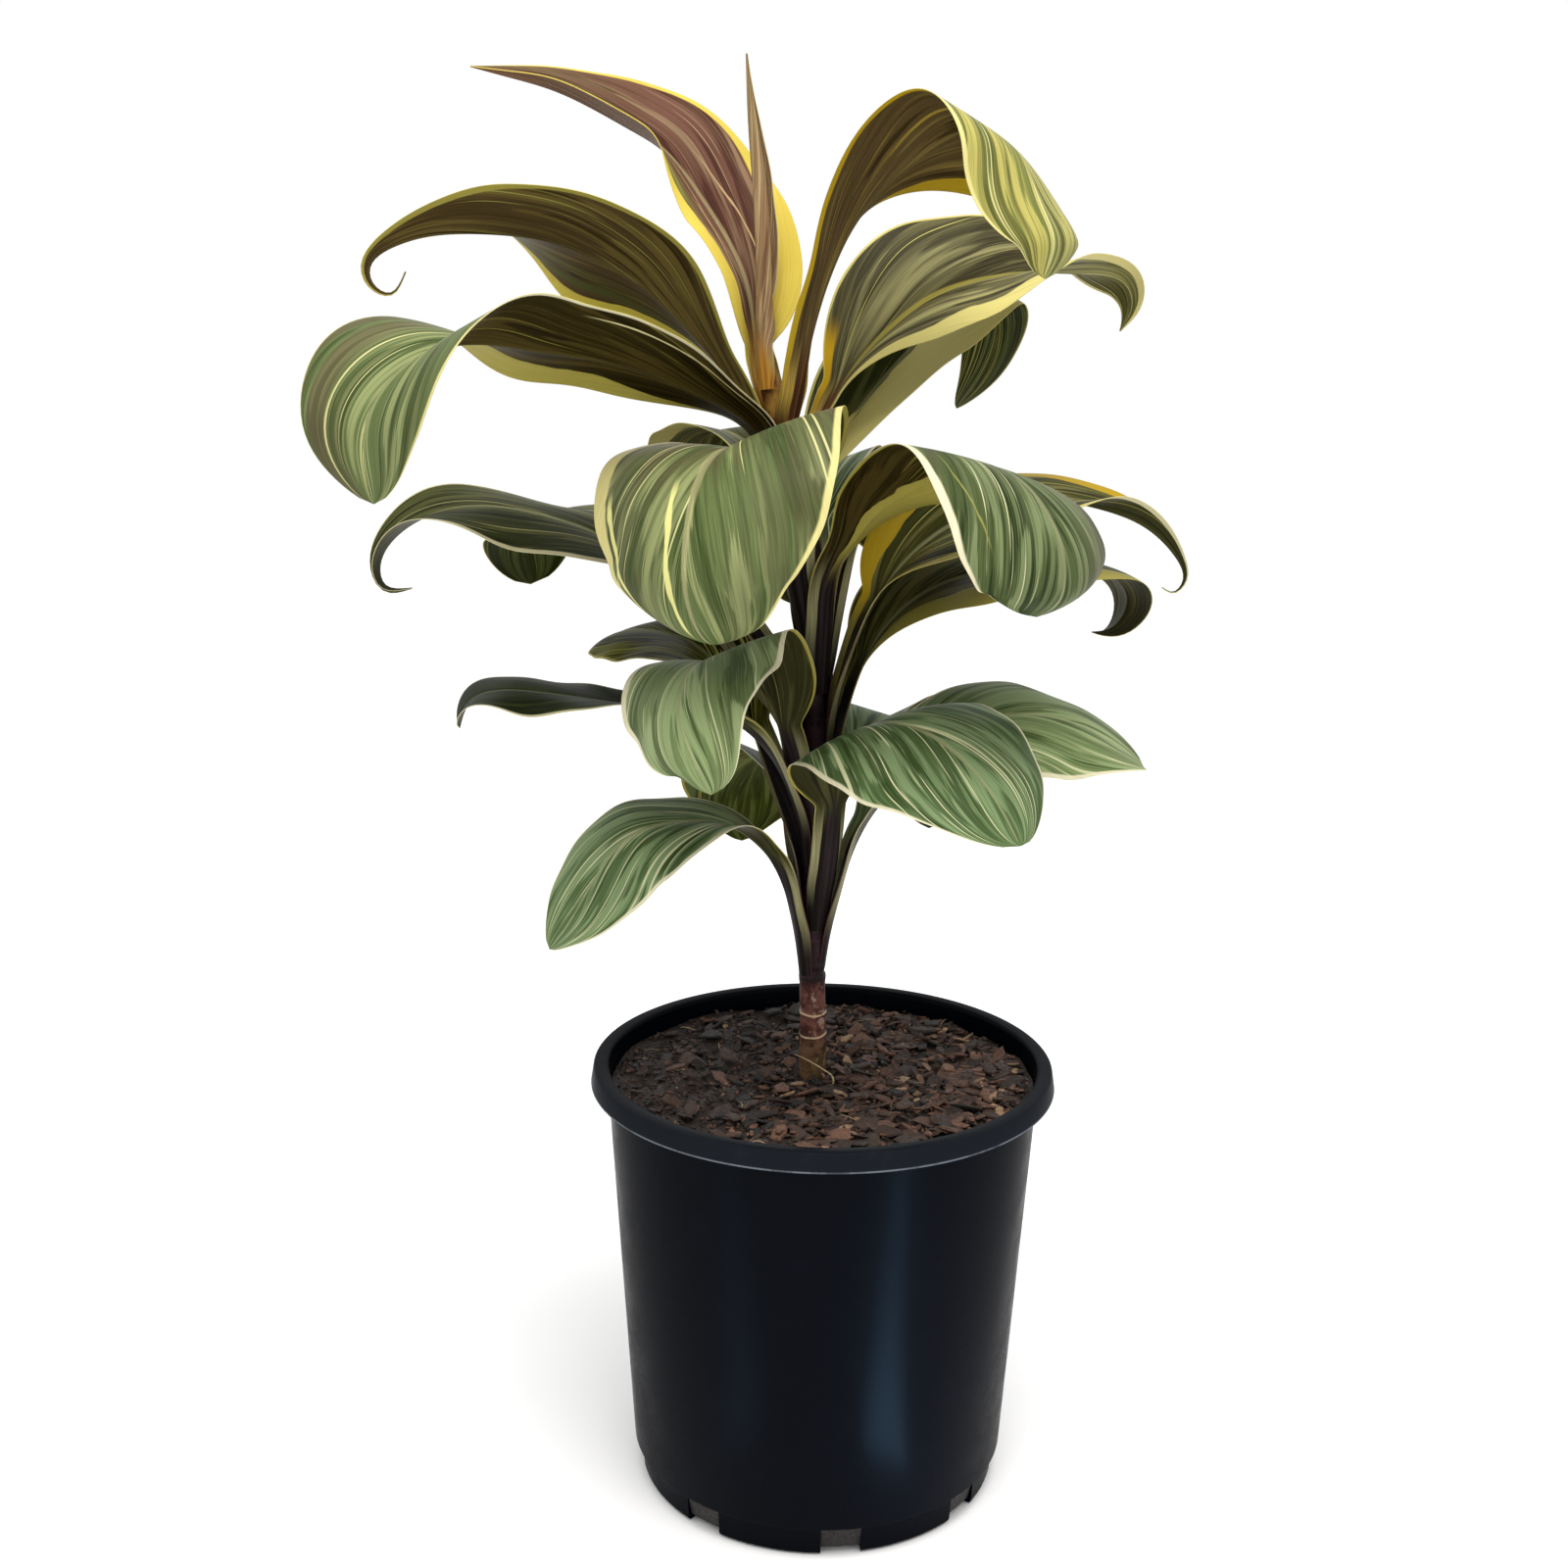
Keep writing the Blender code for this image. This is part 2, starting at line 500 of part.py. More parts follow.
def main():
    """Clears the scene and builds the plant."""
    for old in list(bpy.data.objects):
        bpy.data.objects.remove(old)
    plant = bpy.data.collections.new("ti_plant")
    cutters = bpy.data.collections.new("cutters")
    bpy.context.scene.collection.children.link(plant)
    bpy.context.scene.collection.children.link(cutters)
    pot(plant, cutters)
    mix(plant)
    stem(plant)
    leaves(plant)


main()
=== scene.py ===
"""Ti plant in a nursery pot: the looks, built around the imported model.

Metres, +Z up, -Y is the front, origin at the centre of the pot's underside. The leaf table is in
millimetres and degrees and is the same as in the part's source.
"""

import math
import random

import bmesh
import bpy
import numpy as np
from mathutils import Matrix, Vector


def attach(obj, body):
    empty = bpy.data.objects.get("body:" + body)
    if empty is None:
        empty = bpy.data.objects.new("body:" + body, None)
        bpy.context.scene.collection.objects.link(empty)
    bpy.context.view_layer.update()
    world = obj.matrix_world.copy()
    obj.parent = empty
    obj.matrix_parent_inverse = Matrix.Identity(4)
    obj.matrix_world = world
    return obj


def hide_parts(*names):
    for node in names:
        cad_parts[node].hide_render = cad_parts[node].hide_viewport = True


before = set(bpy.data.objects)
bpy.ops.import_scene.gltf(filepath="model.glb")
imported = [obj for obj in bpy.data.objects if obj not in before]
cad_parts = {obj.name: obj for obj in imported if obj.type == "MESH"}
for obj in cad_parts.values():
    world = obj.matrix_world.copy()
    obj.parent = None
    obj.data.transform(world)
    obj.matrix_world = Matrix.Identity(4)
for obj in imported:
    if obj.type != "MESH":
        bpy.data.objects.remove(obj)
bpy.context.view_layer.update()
MM = 0.001
PER_METRE = 1000.0

# Camera: distance in front, height, pixels of focal length and of the image, sensor, and its turns
CAMERA_BACK = 0.783
CAMERA_HEIGHT = 0.498
FOCAL_PIXELS = 1961.0
IMAGE_PIXELS = 1600.0
SENSOR = 36.0
YAW, PITCH, ROLL = (math.radians(a) for a in (-1.32, 13.43, 0.64))

# Pot
RIM_RADIUS = 100.0
RIM_TOP_RADIUS = 98.8
RIM_HEIGHT = 189.0
LIP_DROP = 8.0
MOUTH_RADIUS = 92.0
WALL = 1.3
WALL_TOP_RADIUS = 93.3
STEP_HEIGHT = 13.5
STEP_RADIUS = 82.0
STEP_IN = 2.6
FOOT_RADIUS = 78.2
FLOOR = 2.0
POT_SIDES = 192
HOLE_COUNT = 8
HOLE_WIDTH = 17.0
HOLE_TOP = 13.0
FIRST_HOLE = -82.0
MIX_TOP = 181.5
MIX_RADIUS = 91.0
MIX_HOLE = 6.6
STEM_FOOT = 150.0

# Stem: height, distance right and back of the pot's axis, radius
STEM = (
    (130.3, -4.0, 1.0, 6.2),
    (184.0, -4.1, 1.0, 6.2),
    (225.0, -5.0, 1.0, 4.3),
    (268.0, -4.5, 1.0, 4.3),
    (311.0, -4.0, 1.0, 4.3),
    (346.0, -6.0, 1.0, 4.2),
    (380.0, -8.0, 1.0, 4.1),
    (410.0, -13.0, 1.0, 4.0),
    (440.0, -18.0, 1.0, 4.0),
    (460.0, -22.5, 1.0, 4.0),
    (477.0, -26.2, 1.0, 3.8),
    (481.0, -27.2, 1.0, 2.6),
)
SCARS = ((200.5, 0.8, 0.3), (210.5, 0.9, -0.2))

# Leaves
FOOT_REACH = 5.2
CLASP_HALF = 6.0
STALK_HALF = 8.5
FULL_STALK_FROM = 50.0
TIP_HALF = 0.35
MOST_WRAP = math.radians(110.0)
MIDRIB_SAMPLES = 400
ROWS = 120
COLUMNS = 35
VEIN_LEAN = 0.85
LEAF_LIGHT = (1.0, 0.97, 0.92)
PALE_LIGHT = 0.8
UNDER_LIGHT = 0.72


def leaf(azimuth, stalk, width, outline, path, keys):
    """One row of the leaf table.

    azimuth: heading of the leaf from above, degrees from +X towards the back.
    stalk: length of the stalk below the blade.
    width: across the blade.
    outline: how full the blade is towards its base and towards its tip.
    path: midrib points as reach from the stem, height and, where it swings, degrees of swing.
    keys: place along the blade, roll, fold and bend of the cross section in degrees.
    """
    return dict(azimuth=azimuth, stalk=stalk, width=width, outline=outline, path=path, keys=keys)


LEAVES = (
    leaf(200, 55, 60, (0.9, 0.65),
         [(FOOT_REACH, 226), (6.8, 238), (11, 259), (21, 282), (38, 296), (59, 299), (78, 295), (93, 280),
          (104, 262), (114, 249)],
         [(0, 5, 30, 10), (0.2, -2, 15, 0), (0.45, -15, 2, -20), (0.75, -20, 5, -20), (1, -10, 10, 0)]),
    leaf(11, 62, 76, (0.7, 0.55),
         [(FOOT_REACH, 232), (6.8, 244), (10.2, 260), (17, 282), (26, 299), (39, 314), (56, 327),
          (75, 337), (97, 338), (119, 331), (144, 314)],
         [(0, 0, 30, 0), (0.2, 10, 25, -10), (0.45, 20, 10, -30), (0.75, 20, 5, -30), (1, 10, 10, 0)]),
    leaf(108, 62, 74, (0.7, 0.75),
         [(FOOT_REACH, 246), (6.8, 257), (9.8, 267), (15, 277), (32, 298), (64, 308), (96, 296),
          (114, 272), (116, 256)],
         [(0, 0, 30, 10), (0.3, 5, 22, -10), (0.6, 5, 5, -35), (1, 0, 0, -30)]),
    leaf(308, 56, 88, (0.6, 0.6),
         [(FOOT_REACH, 248), (6.8, 260), (9.4, 275), (13, 298), (18, 320), (32, 340), (61, 346),
          (87, 340), (108, 328), (124, 312)],
         [(0, 0, 25, 0), (0.15, 5, 15, -20), (0.4, 12, 5, -28), (0.7, 10, 0, -28), (1, 0, 0, -30)]),
    leaf(145, 80, 72, (0.75, 0.75),
         [(FOOT_REACH, 256), (6.8, 268), (9.4, 282), (16, 299), (29, 322), (44, 345), (64, 362),
          (89, 367), (111, 363), (123, 352)],
         [(0, 0, 30, 10), (0.3, -5, 22, -10), (0.6, -10, 10, -30), (1, 0, 0, -20)]),
    leaf(67, 66, 80, (0.7, 0.75),
         [(FOOT_REACH, 268), (6.8, 278), (9.4, 290), (17, 304), (42, 319), (80, 325), (118, 309),
          (138, 281), (140, 259)],
         [(0, 0, 30, 10), (0.3, -5, 22, -10), (0.6, -5, 5, -35), (1, 0, 0, -30)]),
    leaf(190, 66, 58, (0.9, 0.7),
         [(FOOT_REACH, 276), (6.8, 288), (9.6, 300), (14, 313), (26, 331), (47, 343), (71, 345.5),
          (95, 349), (115, 352), (130, 353), (142, 349), (147, 338)],
         [(0, 8, 28, 10), (0.2, 8, 14, 0), (0.6, -2, 8, -16), (0.8, -6, 5, -16), (1, 0, 20, 0)]),
    leaf(18, 78, 74, (0.7, 0.9),
         [(FOOT_REACH, 284), (7.2, 296), (9.8, 310), (11, 330), (16, 352), (29, 376), (53, 393),
          (84, 400), (110, 402), (130, 396), (139, 385), (133, 373), (123, 371)],
         [(0, 10, 30, 0), (0.2, 12, 22, -20), (0.5, 10, 15, -30), (0.75, 0, 15, -30), (1, 0, 20, 0)]),
    leaf(227, 48, 74, (0.62, 0.62),
         [(FOOT_REACH, 292), (7.2, 303), (11.5, 315), (19, 332), (36, 356), (62, 370, 0), (88, 366, 8),
          (100, 353, 13), (103, 338, 18), (99, 328, 20)],
         [(0, 0, 28, 10), (0.2, 14, 30, -14), (0.38, 20, 20, -24), (0.55, 18, 4, -34), (0.7, 16, 2, -40),
          (1, 0, 0, -30)]),
    leaf(180, 86, 60, (0.75, 1.2),
         [(FOOT_REACH, 303), (6.6, 314), (9.8, 325), (18, 341), (41, 368), (65, 396), (91, 414),
          (111, 421), (135, 425), (157, 422), (174, 412), (181, 400), (179, 392), (168, 391)],
         [(0, -5, 28, 10), (0.3, -12, 10, -20), (0.55, -15, 2, -20), (0.75, -15, 20, 0),
          (1, -20, 30, 0)]),
    leaf(8, 80, 66, (0.65, 1.7),
         [(FOOT_REACH, 310), (6.6, 322), (8.2, 336), (11, 354), (16, 372), (28, 395), (45, 413),
          (67, 425), (90, 430), (111, 427), (134, 419), (149, 406), (153, 396), (149, 391), (144, 393)],
         [(0, 10, 30, 0), (0.2, 20, 22, -20), (0.5, 15, 20, -30), (0.7, 0, 35, 0), (1, 0, 30, 0)]),
    leaf(147, 76, 80, (0.95, 0.5),
         [(FOOT_REACH, 326), (6.8, 337), (11, 347), (23, 362), (49, 384), (82, 404), (110, 414),
          (137, 416), (156, 410), (162, 397), (157, 382)],
         [(0, 0, 28, 10), (0.3, -10, 22, -10), (0.6, -5, 10, -30), (1, 0, 0, -20)]),
    leaf(70, 78, 62, (0.7, 0.75),
         [(FOOT_REACH, 338), (6.8, 350), (9.8, 364), (15, 386), (38, 409), (80, 419), (110, 412),
          (126, 396), (131, 378)],
         [(0, 0, 28, 10), (0.3, 2, 22, -10), (0.6, 3, 5, -35), (1, 0, 0, -30)]),
    leaf(315, 54, 90, (0.95, 0.36),
         [(FOOT_REACH, 350), (6.8, 363), (8.8, 380), (12, 397), (20, 413), (37, 429), (57, 439),
          (79, 448), (101, 446), (117, 435), (127, 418), (126, 402), (116, 395)],
         [(0, -5, 30, 10), (0.15, -15, 18, 0), (0.3, -20, 4, 0), (0.45, -20, 0, -12), (0.65, -8, 3, -30),
          (1, 0, 0, -35)]),
    leaf(95, 60, 80, (0.7, 0.75),
         [(FOOT_REACH, 360), (6.8, 372), (9.4, 386), (16, 398), (38, 424), (74, 434), (110, 420),
          (130, 394), (134, 368)],
         [(0, 0, 28, 10), (0.3, -5, 22, -10), (0.6, -5, 5, -35), (1, 0, 0, -30)]),
    leaf(243, 60, 102, (0.52, 0.54),
         [(FOOT_REACH, 374), (6.8, 386), (8.8, 400), (17, 420), (36, 443), (66, 453), (98, 444, 3),
          (116, 424, 5), (120, 405, 6), (112, 390, 7), (101, 385, 7)],
         [(0, 0, 25, 10), (0.2, 10, 20, -8), (0.38, 12, 15, -28), (0.55, 9, 6, -40), (0.7, 6, 0, -44),
          (1, 0, 0, -30)]),
    leaf(124, 44, 64, (0.7, 0.7),
         [(FOOT_REACH, 391, -14), (6.6, 401, -13), (9.6, 411, -9), (20, 423), (38, 443), (64, 453),
          (86, 449), (96, 438), (97, 424)],
         [(0, 0, 28, 10), (0.3, 0, 25, -10), (0.6, 0, 10, -30), (1, 0, 0, -20)]),
    leaf(215, 48, 80, (1.3, 0.66),
         [(FOOT_REACH, 402), (6.8, 413), (10.2, 424), (15.5, 438), (23, 457), (38, 467), (53, 473),
          (70, 479), (95, 485), (119, 488), (135, 490), (158, 488), (176, 476), (185, 460), (183, 435)],
         [(0, 12, 22, 10), (0.15, 32, 14, 0), (0.35, 26, 8, -5), (0.5, 22, 10, -5), (0.6, 10, 20, -10),
          (0.7, -4, 26, -20), (0.82, -18, 25, -26), (1, -20, 10, -24)]),
    leaf(42, 26, 56, (0.6, 0.75),
         [(FOOT_REACH, 414), (6.8, 425), (11, 436), (19, 450), (38, 469), (62, 489), (86, 505),
          (104, 512), (112, 505), (112, 490), (103, 475), (90, 464)],
         [(0, 20, 28, 0), (0.3, 22, 28, -10), (0.6, 10, 15, -30), (1, 0, 5, -20)]),
    leaf(195, 44, 61, (1.6, 2.1),
         [(FOOT_REACH, 428), (6.8, 439), (11, 450), (18, 461), (26, 476), (36, 489), (50, 503), (65, 515),
          (81, 523), (96, 528), (110, 530), (136, 530), (153, 526), (164, 518), (163, 511), (157, 508),
          (151, 516)],
         [(0, 12, 20, 10), (0.2, 36, 16, -10), (0.45, 34, 10, -10), (0.65, 10, 30, 10), (1, 0, 40, 20)]),
    leaf(20, 36, 70, (0.8, 1.2),
         [(FOOT_REACH, 440), (8, 450), (15, 462), (26, 479), (42, 496), (62, 510), (84, 517), (106, 520),
          (128, 520), (147, 516), (151, 507), (147, 497)],
         [(0, 15, 28, 0), (0.2, 34, 34, -20), (0.5, 32, 30, -20), (0.7, 6, 28, -10), (0.86, -26, 8, -10),
          (1, -30, 5, 0)]),
    leaf(322, 34, 66, (1.6, 0.6),
         [(FOOT_REACH, 452), (9, 463), (13, 480), (17, 501), (25, 520), (37, 538), (58, 554), (85, 564),
          (106, 560), (118, 542), (126, 527), (121, 515)],
         [(0, 0, 28, 10), (0.25, -10, 46, 10), (0.45, -30, 20, -15), (0.6, -36, 3, -20),
          (0.78, -8, 0, -35), (1, 0, 0, -20)]),
    leaf(140, 26, 55, (0.5, 1.15),
         [(5.5, 464, -25), (6.5, 472, -22), (8, 484, -14), (10.5, 497, -6), (16, 513), (30, 535),
          (41, 551, 6), (51, 565, 14), (62, 573, 22), (76, 581, 30), (90, 587, 34), (105, 591, 36),
          (119, 594, 40)],
         [(0, -20, 40, 20), (0.4, -22, 38, -5), (0.7, -20, 40, 0), (1, -20, 45, 0)]),
    leaf(250, 16, 26, (0.6, 1.2),
         [(FOOT_REACH, 473), (5.4, 500, -10), (5.6, 525, -20), (6.6, 550, -32), (8.6, 575, -42),
          (9.6, 599, -47)],
         [(0, 0, 0, 60), (0.15, 0, 20, 140), (0.3, 0, 30, 165), (0.7, 0, 30, 165), (1, 0, 30, 150)]),
)


# tones of a leaf face: the base, its pale stripes and its dark stripes
CELERY = ("88a068", "bcd498", "506838")
MEADOW = ("748854", "b8c488", "405428")
SAGE = ("607c4c", "a4c08c", "40582c")
FERN = ("5c6c40", "98a878", "2c3c1c")
HEATH = ("505830", "848854", "303418")
OLIVE_GREEN = ("484c1c", "8c8850", "1c1c08")
FOREST = ("38401c", "6c7040", "20240c")
NIGHT = ("202c0c", "404c20", "101404")
LIME = ("344010", "94982c", "182008")
PINE = ("3c4410", "68743c", "242c08")
MOSS = ("38381c", "585834", "202010")
UMBER = ("30280c", "504420", "181004")
BARK = ("58482c", "7c6c3c", "30240c")
KHAKI = ("606034", "a09c64", "3c3c1c")
DUSK = ("706c48", "b0ac78", "2c2410")
GOLDEN = ("909850", "e8e080", "586030")
BURGUNDY = ("845c50", "b09478", "54302c")
LEATHER = ("6c4c30", "886448", "4c3420")
TAN = ("9c7c5c", "c4a880", "705038")

# trims of a leaf face: the cream of its streaks, the shade that darkens it and its margin
IVORY = ("e0e0b0", "6c6450", "f0e8c4")
CREAM = ("e0dc9c", "70684c", "e8dc94")
REED = ("b4b078", "303420", "e0d8ac")
STRAW = ("c8c068", "484430", "d8cc7c")
BRASS = ("989044", "383820", "b4a850")
MUSTARD = ("a48c38", "685438", "bc9c20")
GOLD = ("acac58", "505c2c", "d8c450")
BUTTER = ("d8bc94", "84844c", "f4dc60")
AMBER = ("b08c50", "6c4c30", "ecd878")
BEIGE = ("d8c094", "78784c", "e8d8a8")

# lines and ribs of their own
PALE_LINE = "e8e494"
SAND_LINE = "dcd09c"
TAN_LINE = "d0b084"
AMBER_LINE = "c8a020"
OLIVE_LINE = "8c8c4c"


def face(tones, trims, **more):
    """Look of one face of a leaf from its tones and trims; widths are shares of the half blade.

    stripes, streaks, darks: share of pale, cream and dark stripes.
    tint: (from, to, strength) of the shade colour along the blade, strongest at from; on the lowest leaf it
    is a painted shadow at the base.
    sides: strength of the shade colour towards the (right, left) margin.
    left, right: margin width at the base, the middle and the tip; other: colour of the left margin.
    rib: colour and strength of the midrib.
    lines: streaks of their own, as v from, v to, x from, x to and colour.
    stalk: the stalk's colour, its sheen and its margins; border: where its margins start.
    light: how light the face is; bands: how many broad bands, against the usual count.
    """
    base, pale, dark = tones
    cream, shade, edge = trims
    made = dict(base=base, pale=pale, dark=dark, cream=cream, shade=shade, edge=edge, other=edge)
    made.update(stripes=0.45, streaks=0.12, darks=0.3, tint=(0.0, 0.3, 0.0), sides=(0.0, 0.0))
    made.update(left=(0.05, 0.04, 0.03), right=(0.05, 0.04, 0.03), rib=("b0b083", 0.45), lines=())
    made.update(stalk=("15110f", "2e2526", "b2ae80"), border=0.5, light=0.55, bands=1.0)
    made.update(more)
    return made


def sage(**more):
    """Upper face of the lower leaves."""
    return face(SAGE, IVORY, **more)


def moss(**more):
    """Underside of the lower leaves."""
    return face(MOSS, BRASS, **{"light": UNDER_LIGHT, "rib": ("68683c", 0.3), **more})


UNDER = dict(light=UNDER_LIGHT, rib=("686038", 0.25))
RUDDY = dict(stalk=("3c2018", "604024", "dcb450"), border=0.36)
OLIVE = dict(stalk=("181410", "302c1c", "b4a858"), border=0.5)
HONEY = dict(stalk=("9c6828", "c08c38", "e0b454"))
RUDDY_UNDER = dict(UNDER, **RUDDY)

# upper face and underside of each leaf, from the lowest
LOOKS = (
    # the lowest leaf: its tint lays the shade colour over the base of its upper face as a painted shadow
    (sage(stripes=0.5, streaks=0.26, tint=(0.0, 0.3, 0.8), left=(0.08, 0.05, 0.04)), moss()),
    (face(CELERY, IVORY, stripes=0.5, streaks=0.14, tint=(1.0, 0.75, 0.4), right=(0.07, 0.06, 0.05)),
     moss(left=(0.1, 0.1, 0.1))),
    (sage(stripes=0.4), face(PINE, BRASS, **UNDER)),
    (sage(stripes=0.5, streaks=0.14, darks=0.4, right=(0.06, 0.04, 0.03), left=(0.03, 0.03, 0.03)),
     moss()),
    (face(LIME, STRAW, streaks=0.26, darks=0.4), moss()),
    (sage(), moss()),
    (face(NIGHT, REED, tint=(0.0, 0.4, 0.5), streaks=0.05, left=(0.08, 0.06, 0.04),
          right=(0.08, 0.07, 0.05)), moss(left=(0.1, 0.08, 0.04))),
    (face(OLIVE_GREEN, BRASS, streaks=0.05, light=0.6, right=(0.45, 0.3, 0.05), sides=(0.0, 0.3),
          **OLIVE),
     moss(stripes=0.5)),
    (face(CELERY, IVORY, tint=(0.05, 0.4, 0.8), sides=(0.2, 0.2), left=(0.1, 0.05, 0.03),
          right=(0.14, 0.07, 0.05), streaks=0.16, bands=0.8), moss()),
    (face(FOREST, REED, streaks=0.12, left=(0.12, 0.06, 0.04), right=(0.06, 0.04, 0.04)), moss()),
    (face(OLIVE_GREEN, STRAW, streaks=0.14, other=MUSTARD[2], right=(0.1, 0.08, 0.1),
          left=(0.4, 0.25, 0.14), **OLIVE),
     moss(edge=REED[2], other=REED[2], left=(0.12, 0.16, 0.34), right=(0.1, 0.1, 0.2))),
    (face(FOREST, BRASS, streaks=0.1), face(PINE, BRASS, **UNDER)),
    (sage(), moss()),
    (face(FERN, IVORY, tint=(0.3, 0.62, 0.75), streaks=0.1, sides=(0.0, 0.6), right=(0.1, 0.08, 0.03),
          left=(0.05, 0.03, 0.02), darks=0.36, lines=((-0.745, -0.725, 0.5, 0.82, OLIVE_LINE),)),
     face(UMBER, BRASS, right=(0.06, 0.04, 0.02), left=(0.95, 0.8, 0.05), **UNDER)),
    (sage(), moss()),
    (face(MEADOW, CREAM, tint=(0.25, 0.66, 1.0), sides=(0.5, 0.5), stripes=0.46, streaks=0.1, darks=0.46,
          left=(0.05, 0.05, 0.04), bands=0.6, right=(0.2, 0.11, 0.06), rib=(SAND_LINE, 0.3),
          lines=((-0.2, -0.14, 0.5, 0.97, PALE_LINE), (-0.84, -0.78, 0.45, 0.95, PALE_LINE))), moss()),
    (face(HEATH, STRAW, streaks=0.1, left=(0.1, 0.1, 0.1), right=(0.3, 0.2, 0.1)),
     face(KHAKI, STRAW, left=(0.4, 0.4, 0.3), **UNDER)),
    (face(MEADOW, CREAM, streaks=0.05, stripes=0.46, darks=0.4, tint=(0.5, 0.68, 0.7), sides=(0.95, 0.2),
          left=(0.05, 0.035, 0.03), right=(0.03, 0.015, 0.015)),
     face(UMBER, BRASS, other=IVORY[2], streaks=0.05, right=(0.1, 0.46, 0.2), left=(0.06, 0.035, 0.05),
          lines=((0.76, 0.8, 0.0, 0.5, SAND_LINE),), stalk=("201410", "3c3020", "ccb85c"), border=0.45,
          **UNDER)),
    (face(FOREST, STRAW, right=(0.8, 0.72, 0.6), streaks=0.05, **OLIVE),
     face(PINE, STRAW, right=(0.05, 0.05, 0.05), streaks=0.28, **dict(UNDER, **OLIVE))),
    (face(HEATH, STRAW, streaks=0.15, **RUDDY),
     face(BARK, GOLD, other=BRASS[2], right=(0.5, 0.14, 0.05), left=(0.1, 0.06, 0.2), sides=(0.9, 0.0),
          streaks=0.12, **RUDDY_UNDER)),
    (face(DUSK, STRAW, streaks=0.08, darks=0.42, tint=(0.0, 0.42, 0.85), right=(0.3, 0.2, 0.05),
          left=(0.04, 0.03, 0.05), rib=(BRASS[2], 0.6), lines=((0.62, 1.1, -0.15, 0.15, AMBER_LINE),),
          sides=(0.0, 0.7), **RUDDY),
     face(KHAKI, CREAM, right=(0.04, 0.2, 0.3), left=(0.05, 0.08, 0.1), **RUDDY_UNDER)),
    (face(GOLDEN, CREAM, stripes=0.46, streaks=0.18, darks=0.42, left=(0.08, 0.08, 0.04),
          right=(0.12, 0.08, 0.03), **RUDDY),
     face(BARK, MUSTARD, stripes=0.35, streaks=0.14, left=(0.5, 0.34, 0.2), right=(0.2, 0.05, 0.03),
          tint=(0.0, 0.4, 0.4), **RUDDY_UNDER)),
    (face(BURGUNDY, BUTTER, streaks=0.08, darks=0.45, stripes=0.4, tint=(1.0, 0.45, 0.4),
          sides=(0.0, 0.9), left=(0.5, 0.14, 0.07), right=(0.5, 0.06, 0.05), rib=(SAND_LINE, 0.5),
          lines=((0.27, 0.3, 0.05, 0.6, TAN_LINE), (-0.36, -0.33, 0.1, 0.5, TAN_LINE),
                 (0.6, 0.76, 0.35, 0.95, OLIVE_LINE)),
          # painted light: this stalk's colours are much paler than its own golden tone, to light up a stalk
          # that lies in shade
          stalk=("c08c3c", "e4bc64", "fff0b8"), border=0.5, light=0.66),
     face(LEATHER, AMBER, streaks=0.03, left=(0.1, 0.06, 0.05), **RUDDY_UNDER)),
    (face(TAN, BEIGE, streaks=0.25, light=0.7,
          lines=((0.3, 0.42, 0.3, 0.9, SAND_LINE), (-0.52, -0.42, 0.2, 0.7, SAND_LINE)), **HONEY),
     face(TAN, BEIGE, streaks=0.22, tint=(1.0, 0.4, 0.5), **dict(UNDER, **HONEY))),
)


def stem_at(height):
    """How far right and back the stem's centre line is at a height."""
    axis = np.array(STEM)
    return np.array([np.interp(height, axis[:, 0], axis[:, i]) for i in (1, 2)])


def spline(knots, values, where):
    """Natural cubic spline through the values at the knots, read at where."""
    x, y = np.asarray(knots, float), np.asarray(values, float)
    count, step = len(x), np.diff(x)
    system, right = np.eye(count), np.zeros_like(y)
    for i in range(1, count - 1):
        system[i, i - 1:i + 2] = step[i - 1], 2 * (step[i - 1] + step[i]), step[i]
        right[i] = 6 * ((y[i + 1] - y[i]) / step[i] - (y[i] - y[i - 1]) / step[i - 1])
    curve = np.linalg.solve(system, right)
    at = np.clip(np.asarray(where, float), x[0], x[-1])
    k = np.clip(np.searchsorted(x, at) - 1, 0, count - 2)
    after, before, span = at - x[k], x[k + 1] - at, step[k]
    if y.ndim == 2:
        after, before, span = after[:, None], before[:, None], span[:, None]
    bent = (curve[k] * before**3 + curve[k + 1] * after**3) / (6 * span)
    left = (y[k] / span - curve[k] * span / 6) * before
    right = (y[k + 1] / span - curve[k + 1] * span / 6) * after
    return bent + left + right


def smooth(t):
    """0 below 0, 1 above 1 and an even rise between."""
    t = np.clip(t, 0.0, 1.0)
    return t * t * (3.0 - 2.0 * t)


def midrib(row):
    """Evenly spaced points of a leaf's midrib, the distance along it, and its swing in degrees."""
    swing = [p[2] if len(p) > 2 else 0.0 for p in row["path"]]
    heading = np.radians(row["azimuth"] + np.array(swing))
    reach = np.array([p[0] for p in row["path"]])
    height = np.array([p[1] for p in row["path"]], float)
    # close to the stem the midrib follows its lean, farther out it keeps to its own heading
    foot = stem_at(height[:1])
    centre = foot + (1 - smooth((reach - 6.0) / 10.0)) * (stem_at(height) - foot)
    points = np.stack([centre[0] + reach * np.cos(heading), centre[1] + reach * np.sin(heading), height], 1)
    knots = np.concatenate([[0], np.cumsum(np.linalg.norm(np.diff(points, axis=0), axis=1) ** 0.7)])
    fine = np.linspace(0, knots[-1], 3 * MIDRIB_SAMPLES)
    curve = spline(knots, points, fine)
    turn = np.interp(fine, knots, swing)
    arc = np.concatenate([[0], np.cumsum(np.linalg.norm(np.diff(curve, axis=0), axis=1))])
    along = np.linspace(0, arc[-1], MIDRIB_SAMPLES)
    even = np.stack([np.interp(along, arc, curve[:, i]) for i in range(3)], 1)
    return even, along, np.interp(along, arc, turn)


